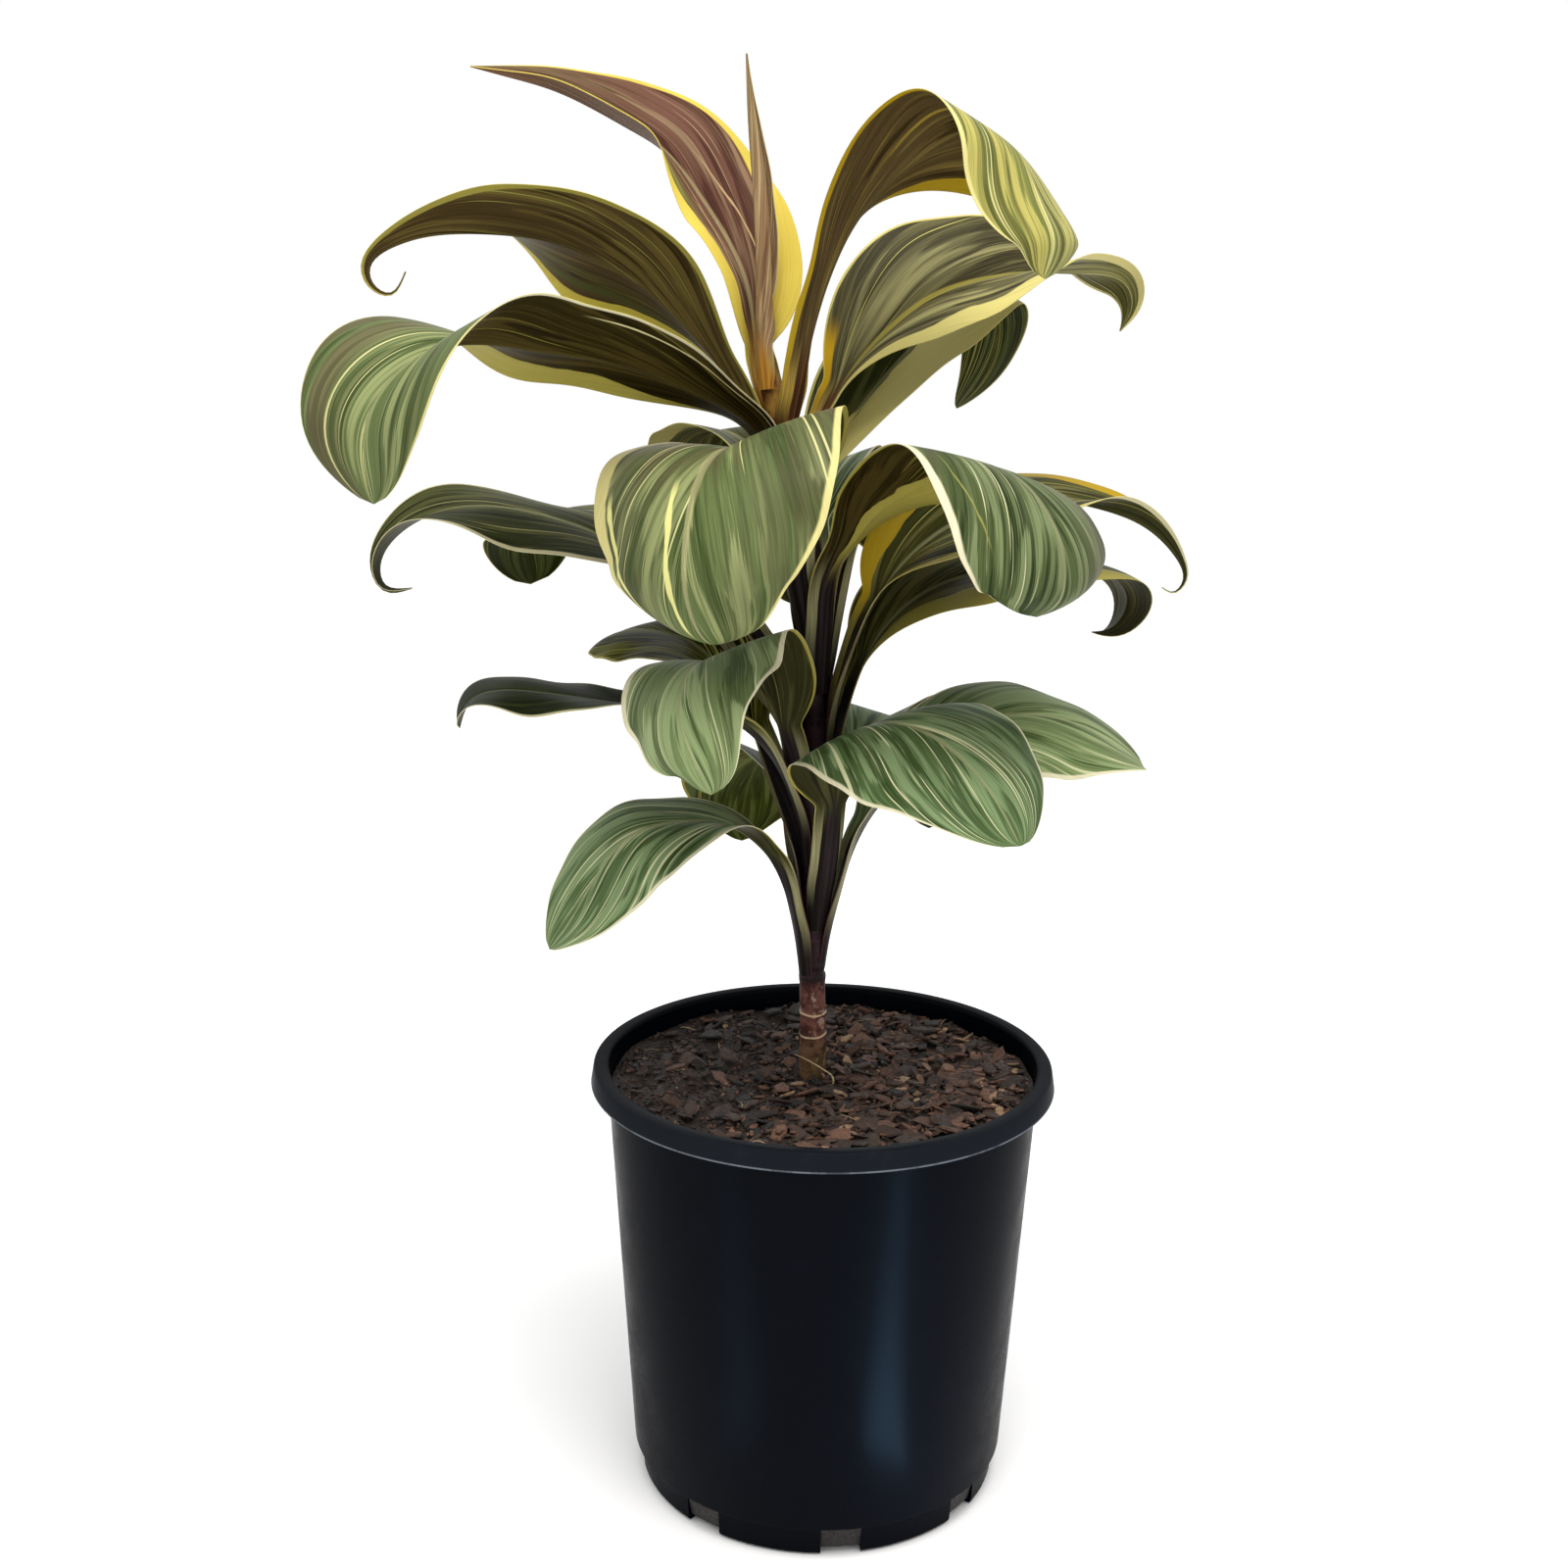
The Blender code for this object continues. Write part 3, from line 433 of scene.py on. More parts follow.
def half_width(row, along, length):
    """Half the leaf's width: a clasping foot, a narrow stalk and then the blade's outline."""
    x = np.clip((along - row["stalk"]) / (length - row["stalk"]), 0.0, 1.0)
    base, tip = row["outline"]
    peak = (base / (base + tip)) ** base * (tip / (base + tip)) ** tip
    blade = row["width"] / 2 * x**base * (1 - x) ** tip / peak
    stalk = CLASP_HALF + (STALK_HALF - CLASP_HALF) * smooth(along / (0.4 * row["stalk"]))
    stalk = stalk * min(1.0, row["width"] / FULL_STALK_FROM) * (1 - smooth(x / 0.7))
    return (blade**4 + stalk**4) ** 0.25 + TIP_HALF


def leaf_surface(row, number):
    """A leaf's fine middle surface: points, blade coordinate x, cross coordinate v and half width."""
    even, along, swing = midrib(row)
    length = along[-1]
    rows = np.linspace(0, length, ROWS)
    tangents = np.gradient(even, axis=0)

    def read(values):
        return np.stack([np.interp(rows, along, values[:, i]) for i in range(3)], 1)

    centre, tangent = read(even), read(tangents)
    tangent /= np.linalg.norm(tangent, axis=1)[:, None]
    signed = (rows - row["stalk"]) / (length - row["stalk"])
    x = np.clip(signed, 0.0, 1.0)
    keys = np.array(row["keys"], float)
    opened = smooth((rows / row["stalk"] - 0.5) / 0.5)
    roll, fold, bend = (np.radians(spline(keys[:, 0], keys[:, i], x)) * opened for i in (1, 2, 3))
    half = half_width(row, rows, length)
    reach = np.hypot(*(centre[:, :2].T - stem_at(centre[:, 2])))
    bend = bend + (1 - opened) * np.minimum(half / reach, MOST_WRAP)

    heading = np.radians(row["azimuth"] + np.interp(rows, along, swing))
    side = np.stack([-np.sin(heading), np.cos(heading), np.zeros_like(heading)], 1)
    side -= (side * tangent).sum(1)[:, None] * tangent
    side /= np.linalg.norm(side, axis=1)[:, None]
    up = np.cross(tangent, side)
    turn_cos, turn_sin = np.cos(roll)[:, None], np.sin(roll)[:, None]
    side, up = side * turn_cos + up * turn_sin, up * turn_cos - side * turn_sin

    spread = np.linspace(-1.0, 1.0, COLUMNS)
    v = np.sign(spread) * np.abs(spread) ** 1.3
    share = np.abs(v)[None, :]
    sweep = np.where(np.abs(bend) < 0.001, 0.001, bend)[:, None]
    start, wide = fold[:, None], half[:, None]
    out = wide * (np.sin(start + sweep * share) - np.sin(start)) / sweep
    rise = wide * (np.cos(start) - np.cos(start + sweep * share)) / sweep
    # the margins ripple a little, each leaf in its own way
    draw = random.Random(number)
    for waves, size in ((2.3, 0.9), (5.1, 0.45)):
        for sign in (-1, 1):
            phase = draw.uniform(0, 2 * math.pi)
            ripple = size * wide / 35.0 * np.sin(2 * math.pi * waves * x + phase)[:, None] * share**2
            rise = rise + ripple * (smooth(x / 0.25) * smooth((1 - x) / 0.2))[:, None] * (v * sign > 0)
    out = out * np.sign(v)
    points = centre[:, None] + side[:, None] * out[..., None] + up[:, None] * rise[..., None]
    return points, signed, v, half


def placed(name, data):
    """A new object in the scene, made from its data."""
    made = bpy.data.objects.new(name, data)
    bpy.context.scene.collection.objects.link(made)
    return made


def mesh_from(name, points, faces, layers, slots=None):
    """A mesh object from points in metres, quads or triangles, and UV layers given per point."""
    mesh = bpy.data.meshes.new(name)
    mesh.from_pydata([tuple(p) for p in points], [], [tuple(f) for f in faces])
    corners = np.zeros(len(mesh.loops), dtype=np.int32)
    mesh.loops.foreach_get("vertex_index", corners)
    for layer, values in layers.items():
        made = mesh.uv_layers.new(name=layer)
        made.data.foreach_set("uv", np.ascontiguousarray(values[corners], dtype=np.float32).ravel())
    if slots is not None:
        mesh.polygons.foreach_set("material_index", np.ascontiguousarray(slots, dtype=np.int32))
    mesh.shade_smooth()
    mesh.set_sharp_from_angle(angle=math.radians(50))
    return placed(name, mesh)


def leaf_object(number, row):
    """One leaf as a thin closed blade: groove above and ridge below along the midrib, thin margins."""
    points, x, v, half = leaf_surface(row, number)
    across = np.gradient(points, axis=1)
    lengthwise = np.gradient(points, axis=0)
    normal = np.cross(lengthwise, across)
    normal /= np.maximum(np.linalg.norm(normal, axis=2), 1e-9)[..., None]
    blade = smooth(x / 0.12)[:, None]
    place = np.abs(v)[None, :] * half[:, None]
    thick = 0.36 - 0.12 * blade
    thick = thick * (1 - 0.5 * np.abs(v)[None, :] ** 2)
    fade = (1 - 0.85 * smooth(x / 0.9))[:, None]
    ridge = blade * fade * 0.55 * np.exp(-((place / 1.5) ** 2))
    groove = blade * fade * 0.4 * np.exp(-((place / 1.3) ** 2))
    upper = points + normal * (thick - groove)[..., None]
    under = points - normal * (thick + ridge)[..., None]
    rows, columns = points.shape[:2]
    index = np.arange(rows * columns).reshape(rows, columns)
    a, b = index[:-1, :-1].ravel(), index[:-1, 1:].ravel()
    c, d = index[1:, 1:].ravel(), index[1:, :-1].ravel()
    top = np.stack([d, c, b, a], 1)
    low = np.stack([a, b, c, d], 1) + rows * columns
    border = np.concatenate([index[0, :], index[1:, -1], index[-1, -2::-1], index[-2:0:-1, 0]])
    after = np.roll(border, -1)
    shift = rows * columns
    rim = np.stack([border, after, after + shift, border + shift], 1)
    faces = np.concatenate([top, low, rim])
    slots = np.concatenate([np.zeros(len(top)), np.ones(len(low)), np.zeros(len(rim))])
    grid_x = np.broadcast_to(x[:, None], (rows, columns))
    grid_v = np.broadcast_to(v[None, :], (rows, columns))
    lean = grid_x - VEIN_LEAN * np.abs(grid_v) ** 0.8 + np.where(grid_v < 0, 7.0, 0.0)
    blade_uv = np.stack([grid_x, grid_v], -1).reshape(-1, 2)
    vein_uv = np.stack([lean, grid_x], -1).reshape(-1, 2)
    layers = {"blade": np.concatenate([blade_uv, blade_uv]), "vein": np.concatenate([vein_uv, vein_uv])}
    both = np.concatenate([upper.reshape(-1, 3), under.reshape(-1, 3)]) * MM
    made = mesh_from(f"leaf_{number:02d}_blade", both, faces, layers, slots)
    for side, skin, seed in zip(("upper", "under"), LOOKS[number - 1], (number, number + 40)):
        made.data.materials.append(leaf_material(f"leaf_{number:02d}_{side}", skin, seed, float(x[0])))
    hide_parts(f"leaf_{number:02d}")
    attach(made, "root")
    return made


def colour(code):
    """A hex sRGB colour as linear RGBA."""
    parts = [int(code[i:i + 2], 16) / 255 for i in (0, 2, 4)]
    return tuple(p / 12.92 if p <= 0.04045 else ((p + 0.055) / 1.055) ** 2.4 for p in parts) + (1.0,)


class Paint:
    """Builds the nodes of one material."""

    def __init__(self, name):
        self.material = bpy.data.materials.new(name)
        self.material.use_nodes = True
        self.tree = self.material.node_tree
        self.shader = self.tree.nodes["Principled BSDF"]

    def link(self, value, socket):
        """Sets a socket to a number or colour, or links it."""
        if isinstance(value, bpy.types.NodeSocket):
            self.tree.links.new(value, socket)
        else:
            socket.default_value = value

    def math(self, operation, *values):
        """A Math node."""
        node = self.tree.nodes.new("ShaderNodeMath")
        node.operation = operation
        for value, socket in zip(values, node.inputs):
            self.link(value, socket)
        return node.outputs[0]

    def times(self, first, second):
        """A product."""
        return self.math("MULTIPLY", first, second)

    def plus(self, first, second):
        """A sum."""
        return self.math("ADD", first, second)

    def minus(self, first, second):
        """A difference."""
        return self.math("SUBTRACT", first, second)

    def sway(self, noise, size):
        """A noise about its middle, made as large as size."""
        return self.times(self.minus(noise, 0.5), size)

    def parts(self, vector):
        """The three parts of a vector."""
        split = self.tree.nodes.new("ShaderNodeSeparateXYZ")
        self.tree.links.new(vector, split.inputs[0])
        return split.outputs

    def uv(self, layer):
        """The two coordinates of a UV layer."""
        source = self.tree.nodes.new("ShaderNodeUVMap")
        source.uv_map = layer
        return self.parts(source.outputs[0])[:2]

    def place(self):
        """Object coordinates."""
        return self.tree.nodes.new("ShaderNodeTexCoord").outputs["Object"]

    def vector(self, x, y, z=0.0):
        """Three values as a vector."""
        node = self.tree.nodes.new("ShaderNodeCombineXYZ")
        for value, socket in zip((x, y, z), node.inputs):
            self.link(value, socket)
        return node.outputs[0]

    def noise(self, where, scale=1.0, detail=2.0, rough=0.5, warp=0.0):
        """Noise between about 0.25 and 0.75."""
        node = self.tree.nodes.new("ShaderNodeTexNoise")
        self.link(where, node.inputs["Vector"])
        node.inputs["Scale"].default_value = scale
        node.inputs["Detail"].default_value = detail
        node.inputs["Roughness"].default_value = rough
        node.inputs["Distortion"].default_value = warp
        return node.outputs["Fac"]

    def step(self, value, low, high, to_low=0.0, to_high=1.0):
        """A smooth step from low to high."""
        node = self.tree.nodes.new("ShaderNodeMapRange")
        node.interpolation_type = "SMOOTHSTEP"
        for given, socket in zip((value, low, high, to_low, to_high), node.inputs):
            self.link(given, socket)
        return node.outputs[0]

    def mix(self, share, below, above, blend="MIX"):
        """Two colours mixed."""
        node = self.tree.nodes.new("ShaderNodeMix")
        node.data_type = "RGBA"
        node.blend_type = blend
        self.link(share, node.inputs[0])
        self.link(below, node.inputs[6])
        self.link(above, node.inputs[7])
        return node.outputs[2]

    def cover(self, tone, rough):
        """Colour and roughness of the shader."""
        self.link(tone, self.shader.inputs["Base Color"])
        self.link(rough, self.shader.inputs["Roughness"])

    def bump(self, height, strength, distance):
        """Bump from a height, on the shader."""
        node = self.tree.nodes.new("ShaderNodeBump")
        node.inputs["Strength"].default_value = strength
        node.inputs["Distance"].default_value = distance
        self.link(height, node.inputs["Height"])
        self.tree.links.new(node.outputs[0], self.shader.inputs["Normal"])


def leaf_material(name, skin, seed, foot):
    """Striped, edged leaf skin: stripes follow the veins, which leave the midrib and lean to the tip."""
    p = Paint(name)
    x, v = p.uv("blade")
    vein, _ = p.uv("vein")
    reach = p.math("ABSOLUTE", v)

    def drawn_out(source, across, lengthwise, offset, detail, rough=0.5):
        where = p.vector(p.times(source, across), p.times(x, lengthwise), offset)
        return p.noise(where, 1.0, detail, rough)

    fine = drawn_out(vein, 90.0, 5.0, seed, 3.0)
    frayed = p.sway(fine, 0.2)

    def stripes(count, stretch, offset, share, soft):
        edge = 0.5 + 0.24 * (1 - 2 * share)
        noise = drawn_out(vein, count, stretch, seed * 3.7 + offset, 1.5, 0.55)
        return p.step(p.plus(noise, frayed), edge - soft, edge + soft)

    def layer(below, above, strength, mask):
        return p.mix(p.times(mask, strength), below, colour(above))

    def pale(code):
        return tuple(PALE_LIGHT * part for part in colour(code)[:3]) + (1.0,)

    bands, light, dark = skin["bands"], skin["stripes"], skin["darks"]
    tone = colour(skin["base"])
    for key, strength, count, stretch, offset, share, soft in (
            ("pale", 0.85, 6 * bands, 2.4, 0.0, light, 0.02),
            ("dark", 0.85, 8 * bands, 2.4, 11.0, dark, 0.02),
            ("pale", 0.5, 19, 2.4, 7.0, light - 0.14, 0.02),
            ("dark", 0.45, 27, 2.0, 17.0, dark - 0.06, 0.03)):
        tone = layer(tone, skin[key], strength, stripes(count, stretch, offset, share, soft))
    tone = layer(tone, skin["pale"], 1.0, p.step(fine, 0.45, 0.65, 0.0, 0.22))
    tone = layer(tone, skin["dark"], 1.0, p.step(fine, 0.48, 0.32, 0.0, 0.25))

    # the shade colour goes along the blade by tint and towards the margins by sides; on the lowest leaf the
    # tint is a painted shadow at its base
    begin, end, strength = skin["tint"]
    patch = drawn_out(vein, 9.0, 1.6, seed + 5.0, 2.0)
    along = p.step(p.plus(x, p.sway(patch, 0.7)), begin, end, 1.0, 0.0)
    right = p.step(v, -0.15, -0.7, 0.0, skin["sides"][0])
    left = p.step(v, 0.15, 0.7, 0.0, skin["sides"][1])
    outer = p.times(p.math("MAXIMUM", right, left), p.step(patch, 0.38, 0.46))
    gaps = stripes(8, 1.3, 29.0, 0.66, 0.03)
    shade = p.math("MAXIMUM", p.times(p.times(along, strength), gaps), outer)
    tone = p.mix(shade, tone, p.mix(p.step(fine, 0.35, 0.65, 0.0, 0.35), colour(skin["shade"]), tone))

    tone = p.mix(1.0, tone, tuple(skin["light"] * part for part in LEAF_LIGHT) + (1.0,), "MULTIPLY")
    streak = stripes(30, 0.9, 23.0, skin["streaks"], 0.02)
    tone = p.mix(p.times(streak, 0.85), tone, pale(skin["cream"]))
    rib_colour, rib = skin["rib"]
    near = p.step(reach, p.step(x, 0.0, 0.9, 0.035, 0.012), p.step(x, 0.0, 0.9, 0.07, 0.03), rib, 0.0)
    tone = p.mix(near, tone, pale(rib_colour))

    for low, high, start, stop, code in skin["lines"]:
        here = p.plus(v, p.sway(patch, 0.08))
        middle, wide = (low + high) / 2, (high - low) / 2
        band = p.step(p.math("ABSOLUTE", p.minus(here, middle)), wide * 0.6, wide, 1.0, 0.0)
        span = p.times(p.step(x, start, start + 0.08), p.step(x, stop - 0.08, stop, 1.0, 0.0))
        tone = p.mix(p.times(band, span), tone, pale(code))

    ragged = p.noise(p.vector(p.times(x, 5.0), p.math("SIGN", v), seed + 9.0), 1.0, 3.0)
    ragged = p.plus(p.sway(ragged, 1.2), 0.3)
    below = tone
    for sign, key, paint in ((-1, "right", "edge"), (1, "left", "other")):
        base, middle, tip = skin[key]
        rim_tone = p.mix(p.step(fine, 0.35, 0.6, 0.0, 0.15), pale(skin[paint]), below)
        width = p.plus(p.step(x, 0.05, 0.5, base, middle), p.step(x, 0.5, 0.95, 0.0, tip - middle))
        width = p.times(width, p.plus(1.0, ragged))
        inner = p.minus(1.0, width)
        margin = p.step(p.times(v, float(sign)), inner, p.plus(inner, 0.025))
        tone = p.mix(margin, tone, rim_tone)

    # stalks are dark with paler margins and a thin dark red line at the edge
    deep, sheen, bright = skin["stalk"]
    stalk = p.step(p.plus(x, p.times(reach, 0.1)), -0.04, 0.1, 1.0, 0.0)
    run = drawn_out(v, 5.0, 1.5, seed + 3.0, 3.0)
    dark = p.mix(p.step(run, 0.4, 0.62), colour(deep), colour(sheen))
    border = p.plus(reach, p.sway(run, 0.5))
    mottle = p.step(p.plus(fine, p.times(run, 0.4)), 0.62, 0.74, 0.0, 0.6)
    sheath = p.mix(mottle, pale(bright), colour("5c5838"))
    # the paler margins fade out towards the foot, where x is lowest
    risen = p.step(x, foot * 0.85, foot * 0.35)
    wing = p.step(border, skin["border"], skin["border"] + 0.06, 0.0, risen)
    dark = p.mix(wing, dark, sheath)
    dark = p.mix(p.step(reach, 0.955, 0.985, 0.0, 0.75), dark, colour("5a2f32"))
    tone = p.mix(stalk, tone, dark)
    p.cover(tone, p.step(fine, 0.3, 0.7, 0.36, 0.5))
    p.shader.inputs["Specular IOR Level"].default_value = 0.04
    p.bump(fine, 0.3, 0.0003)
    return p.material


def pot_material():
    """Black moulded plastic with fine scuffs and a few long scratches."""
    p = Paint("pot_skin")
    place = p.place()
    scuff = p.noise(place, 60.0, 6.0, 0.7)
    stretch = p.tree.nodes.new("ShaderNodeMapping")
    stretch.inputs["Scale"].default_value = (9.0, 9.0, 260.0)
    p.tree.links.new(place, stretch.inputs[0])
    drawn = p.noise(stretch.outputs[0], 1.0, 4.0, 0.6)
    scratch = p.step(drawn, 0.73, 0.76)
    haze = p.step(scuff, 0.5, 0.8, 0.0, 0.5)
    tone = p.mix(haze, colour("02040a"), colour("060912"))
    tone = p.mix(p.times(scratch, 0.3), tone, colour("30353f"))
    # the lip is duller and greyer, with a painted highlight along the rounded edge under it
    right, back, height = p.parts(place)
    height = p.times(height, PER_METRE)
    radius = p.tree.nodes.new("ShaderNodeVectorMath")
    radius.operation = "LENGTH"
    p.link(p.vector(right, back), radius.inputs[0])
    outside = p.times(radius.outputs["Value"], PER_METRE)
    outside = p.step(outside, WALL_TOP_RADIUS - 0.1, WALL_TOP_RADIUS + 0.5)
    under_lip = RIM_HEIGHT - LIP_DROP
    lip = p.times(outside, p.step(height, under_lip - 0.2, under_lip + 0.2))
    tone = p.mix(lip, tone, p.mix(haze, colour("14171c"), colour("1e2228")))
    # painted highlight: a thin pale line along the rounded edge under the lip, broken up by the scuffs
    edge_glint = p.step(p.math("ABSOLUTE", p.minus(height, under_lip + 0.35)), 0.2, 0.55, 0.8, 0.0)
    edge_glint = p.times(p.times(edge_glint, outside), p.step(scuff, 0.35, 0.55, 0.3, 1.0))
    tone = p.mix(edge_glint, tone, colour("6c7076"))
    p.cover(tone, p.step(scuff, 0.3, 0.75, 0.2, 0.35))
    p.shader.inputs["Specular IOR Level"].default_value = 0.003
    p.shader.inputs["Coat Weight"].default_value = 0.07
    p.shader.inputs["Coat Roughness"].default_value = 0.3
    p.bump(p.noise(place, 900.0, 2.0), 0.1, 0.0002)
    return p.material


def lathe(name, profile, sides, centre=(0.0, 0.0)):
    """A closed turned mesh from a profile of (radius, height) that starts and ends on the axis."""
    turn = np.linspace(0, 2 * math.pi, sides, endpoint=False)
    rings, points = [], []
    for radius, height in profile:
        if radius == 0.0:
            rings.append([len(points)])
            points.append((centre[0], centre[1], height))
            continue
        rings.append(list(range(len(points), len(points) + sides)))
        points += [(centre[0] + radius * math.cos(t), centre[1] + radius * math.sin(t), height) for t in turn]
    faces = []
    for low, high in zip(rings, rings[1:]):
        for i in range(sides):
            j = (i + 1) % sides
            if len(low) == 1:
                faces.append((low[0], high[i], high[j]))
            elif len(high) == 1:
                faces.append((low[j], low[i], high[0]))
            else:
                faces.append((low[j], low[i], high[i], high[j]))
    mesh = bpy.data.meshes.new(name)
    mesh.from_pydata([tuple(c * MM for c in p) for p in points], [], faces)
    shape = bmesh.new()
    shape.from_mesh(mesh)
    bmesh.ops.recalc_face_normals(shape, faces=shape.faces)
    shape.to_mesh(mesh)
    shape.free()
    mesh.shade_smooth()
    mesh.set_sharp_from_angle(angle=math.radians(35))
    return placed(name, mesh)


def pot():
    """The nursery pot with its lip, drainage notches and moulded steps."""
    under_lip = RIM_HEIGHT - LIP_DROP
    profile = [
        (0.0, FLOOR),
        (FOOT_RADIUS - WALL, FLOOR),
        (STEP_RADIUS - STEP_IN - WALL, STEP_HEIGHT),
        (STEP_RADIUS - WALL, STEP_HEIGHT + 1.5),
        (MOUTH_RADIUS - 0.1, RIM_HEIGHT - 2.0),
        (MOUTH_RADIUS + 0.15, RIM_HEIGHT - 0.9),
        (MOUTH_RADIUS + 0.5, RIM_HEIGHT - 0.25),
        (MOUTH_RADIUS + 1.0, RIM_HEIGHT),
        (RIM_TOP_RADIUS - 1.2, RIM_HEIGHT),
        (RIM_TOP_RADIUS - 0.45, RIM_HEIGHT - 0.15),
        (RIM_TOP_RADIUS + 0.05, RIM_HEIGHT - 0.7),
        (RIM_RADIUS - 0.1, under_lip + 0.6),
        (RIM_RADIUS, under_lip + 0.2),
        (RIM_RADIUS - 0.2, under_lip),
        (RIM_RADIUS - WALL, under_lip),
        (RIM_TOP_RADIUS - WALL, RIM_HEIGHT - WALL - 0.4),
        (MOUTH_RADIUS + WALL + 0.1, RIM_HEIGHT - WALL - 0.4),
        (WALL_TOP_RADIUS - 0.5, under_lip),
        (STEP_RADIUS + 0.1, STEP_HEIGHT + 0.6),
        (STEP_RADIUS - 0.3, STEP_HEIGHT),
        (STEP_RADIUS - STEP_IN + 0.4, STEP_HEIGHT - 0.7),
        (STEP_RADIUS - STEP_IN, STEP_HEIGHT - 1.4),
        (FOOT_RADIUS + 0.6, 2.0),
        (FOOT_RADIUS + 0.2, 0.8),
        (FOOT_RADIUS - 0.5, 0.15),
        (FOOT_RADIUS - 1.4, 0.0),
        (0.0, 0.0),
    ]
    body = lathe("pot_shell", profile, POT_SIDES)
    cutters = []
    for i in range(HOLE_COUNT):
        angle = math.radians(FIRST_HOLE + 360.0 / HOLE_COUNT * i)
        shape = bmesh.new()
        bmesh.ops.create_cube(shape, size=1.0)
        mesh = bpy.data.meshes.new("notch")
        shape.to_mesh(mesh)
        shape.free()
        cutter = placed(f"notch_{i}", mesh)
        cutter.location = (80 * MM * math.cos(angle), 80 * MM * math.sin(angle), (HOLE_TOP - 2.0) / 2 * MM)
        cutter.rotation_euler = (0, 0, angle)
        cutter.scale = (20 * MM, HOLE_WIDTH * MM, (HOLE_TOP + 2.0) * MM)
        cutters.append(cutter)
        cut = body.modifiers.new(f"cut_{i}", "BOOLEAN")
        cut.operation = "DIFFERENCE"
        cut.solver = "EXACT"
        cut.object = cutter
    apply_modifiers(body)
    for cutter in cutters:
        bpy.data.objects.remove(cutter)
    body.data.materials.clear()
    body.data.materials.append(pot_material())
    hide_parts("pot")
    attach(body, "root")


def apply_modifiers(made):
    """Bakes an object's modifiers into its mesh."""
    bpy.context.view_layer.update()
    evaluated = made.evaluated_get(bpy.context.evaluated_depsgraph_get())
    mesh = bpy.data.meshes.new_from_object(evaluated)
    made.modifiers.clear()
    made.data = mesh


def bark_material(name):
    """Bark chips: each chip's own tone, with fibres and crumbs."""
    p = Paint(name)
    tone_at, _ = p.uv("chip")
    place = p.place()
    grain = p.noise(place, 700.0, 4.0, 0.65)
    tone = p.mix(p.step(tone_at, 0.05, 0.45), colour("120c08"), colour("3c281c"))
    tone = p.mix(p.step(tone_at, 0.4, 0.75), tone, colour("6c4a38"))
    tone = p.mix(p.step(tone_at, 0.8, 0.95), tone, colour("a08262"))
    tone = p.mix(p.step(grain, 0.4, 0.65, 0.0, 0.4), tone, colour("1a110c"))
    p.cover(tone, p.step(grain, 0.3, 0.7, 0.55, 0.9))
    p.bump(grain, 0.6, 0.0006)
    return p.material


def mix_height(x, y):
    """Height of the potting mix's surface."""
    mounds = math.sin(0.08 * x + 1.3) * math.cos(0.07 * y - 0.4)
    return MIX_TOP - 1.2 + mounds + 0.9 * math.sin(0.21 * x - 0.17 * y)


def potting_mix():
    """The filled pot's surface and body, with a hole for the stem."""
    sides, points, faces = 96, [], []
    centre = stem_at(MIX_TOP)
    rings = [(MIX_HOLE, STEM_FOOT), (MIX_HOLE, None), (9.0, None)] + [(r, None) for r in range(13, 90, 4)]
    rings += [(MIX_RADIUS, None), (80.2, 16.0), (77.0, 2.6)]
    for radius, height in rings:
        blend = max(0.0, 1.0 - (radius - MIX_HOLE) / 20.0)
        for i in range(sides):
            t = 2 * math.pi * i / sides
            x = radius * math.cos(t) + centre[0] * blend
            y = radius * math.sin(t) + centre[1] * blend
            points.append((x, y, mix_height(x, y) if height is None else height))
    for k in range(len(rings) - 1):
        for i in range(sides):
            j = (i + 1) % sides
            faces.append((k * sides + i, (k + 1) * sides + i, (k + 1) * sides + j, k * sides + j))
    faces.append(tuple(range(sides - 1, -1, -1))[::-1])
    faces.append(tuple((len(rings) - 1) * sides + i for i in range(sides))[::-1])
    places = np.array(points) * MM
    chip = np.stack([np.where(places[:, 2] < 0.15, 0.08, 0.2), np.zeros(len(points))], 1)
    body = mesh_from("mix_body", places, faces, {"chip": chip})
    body.data.materials.append(bark_material("mix_dark"))
    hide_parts("potting_mix")
    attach(body, "root")


def chip_points(draw, size, thick):
    """A flat, broken flake: three rings of a ragged outline, the middle one widest."""
    corners = draw.randint(5, 7)
    stretch = draw.uniform(0.3, 0.85)
    outline = []
    for k in range(corners):
        t = 2 * math.pi * (k + draw.uniform(-0.3, 0.3)) / corners
        r = size / 2 * draw.uniform(0.7, 1.1)
        outline.append((r * math.cos(t), r * math.sin(t) * stretch))
    rings = []
    for height, scale in ((-0.5, 0.82), (draw.uniform(-0.1, 0.2), 1.0), (0.5, 0.84)):
        for x, y in outline:
            rings.append((x * scale, y * scale, height * thick + draw.uniform(-0.1, 0.1) * thick))
    return corners, np.array(rings)


def turned(points, draw, tilt):
    """Points turned about Z at random and tipped by up to tilt."""
    spin = draw.uniform(0, 2 * math.pi)
    lean = math.radians(draw.uniform(0, tilt))
    way = draw.uniform(0, 2 * math.pi)
    c, s = math.cos(spin), math.sin(spin)
    points = points @ np.array([[c, s, 0], [-s, c, 0], [0, 0, 1]])
    axis = np.array([math.cos(way), math.sin(way), 0.0])
    cross = np.cross(axis, points)
    dot = (points @ axis)[:, None]
    return points * math.cos(lean) + cross * math.sin(lean) + axis * dot * (1 - math.cos(lean))


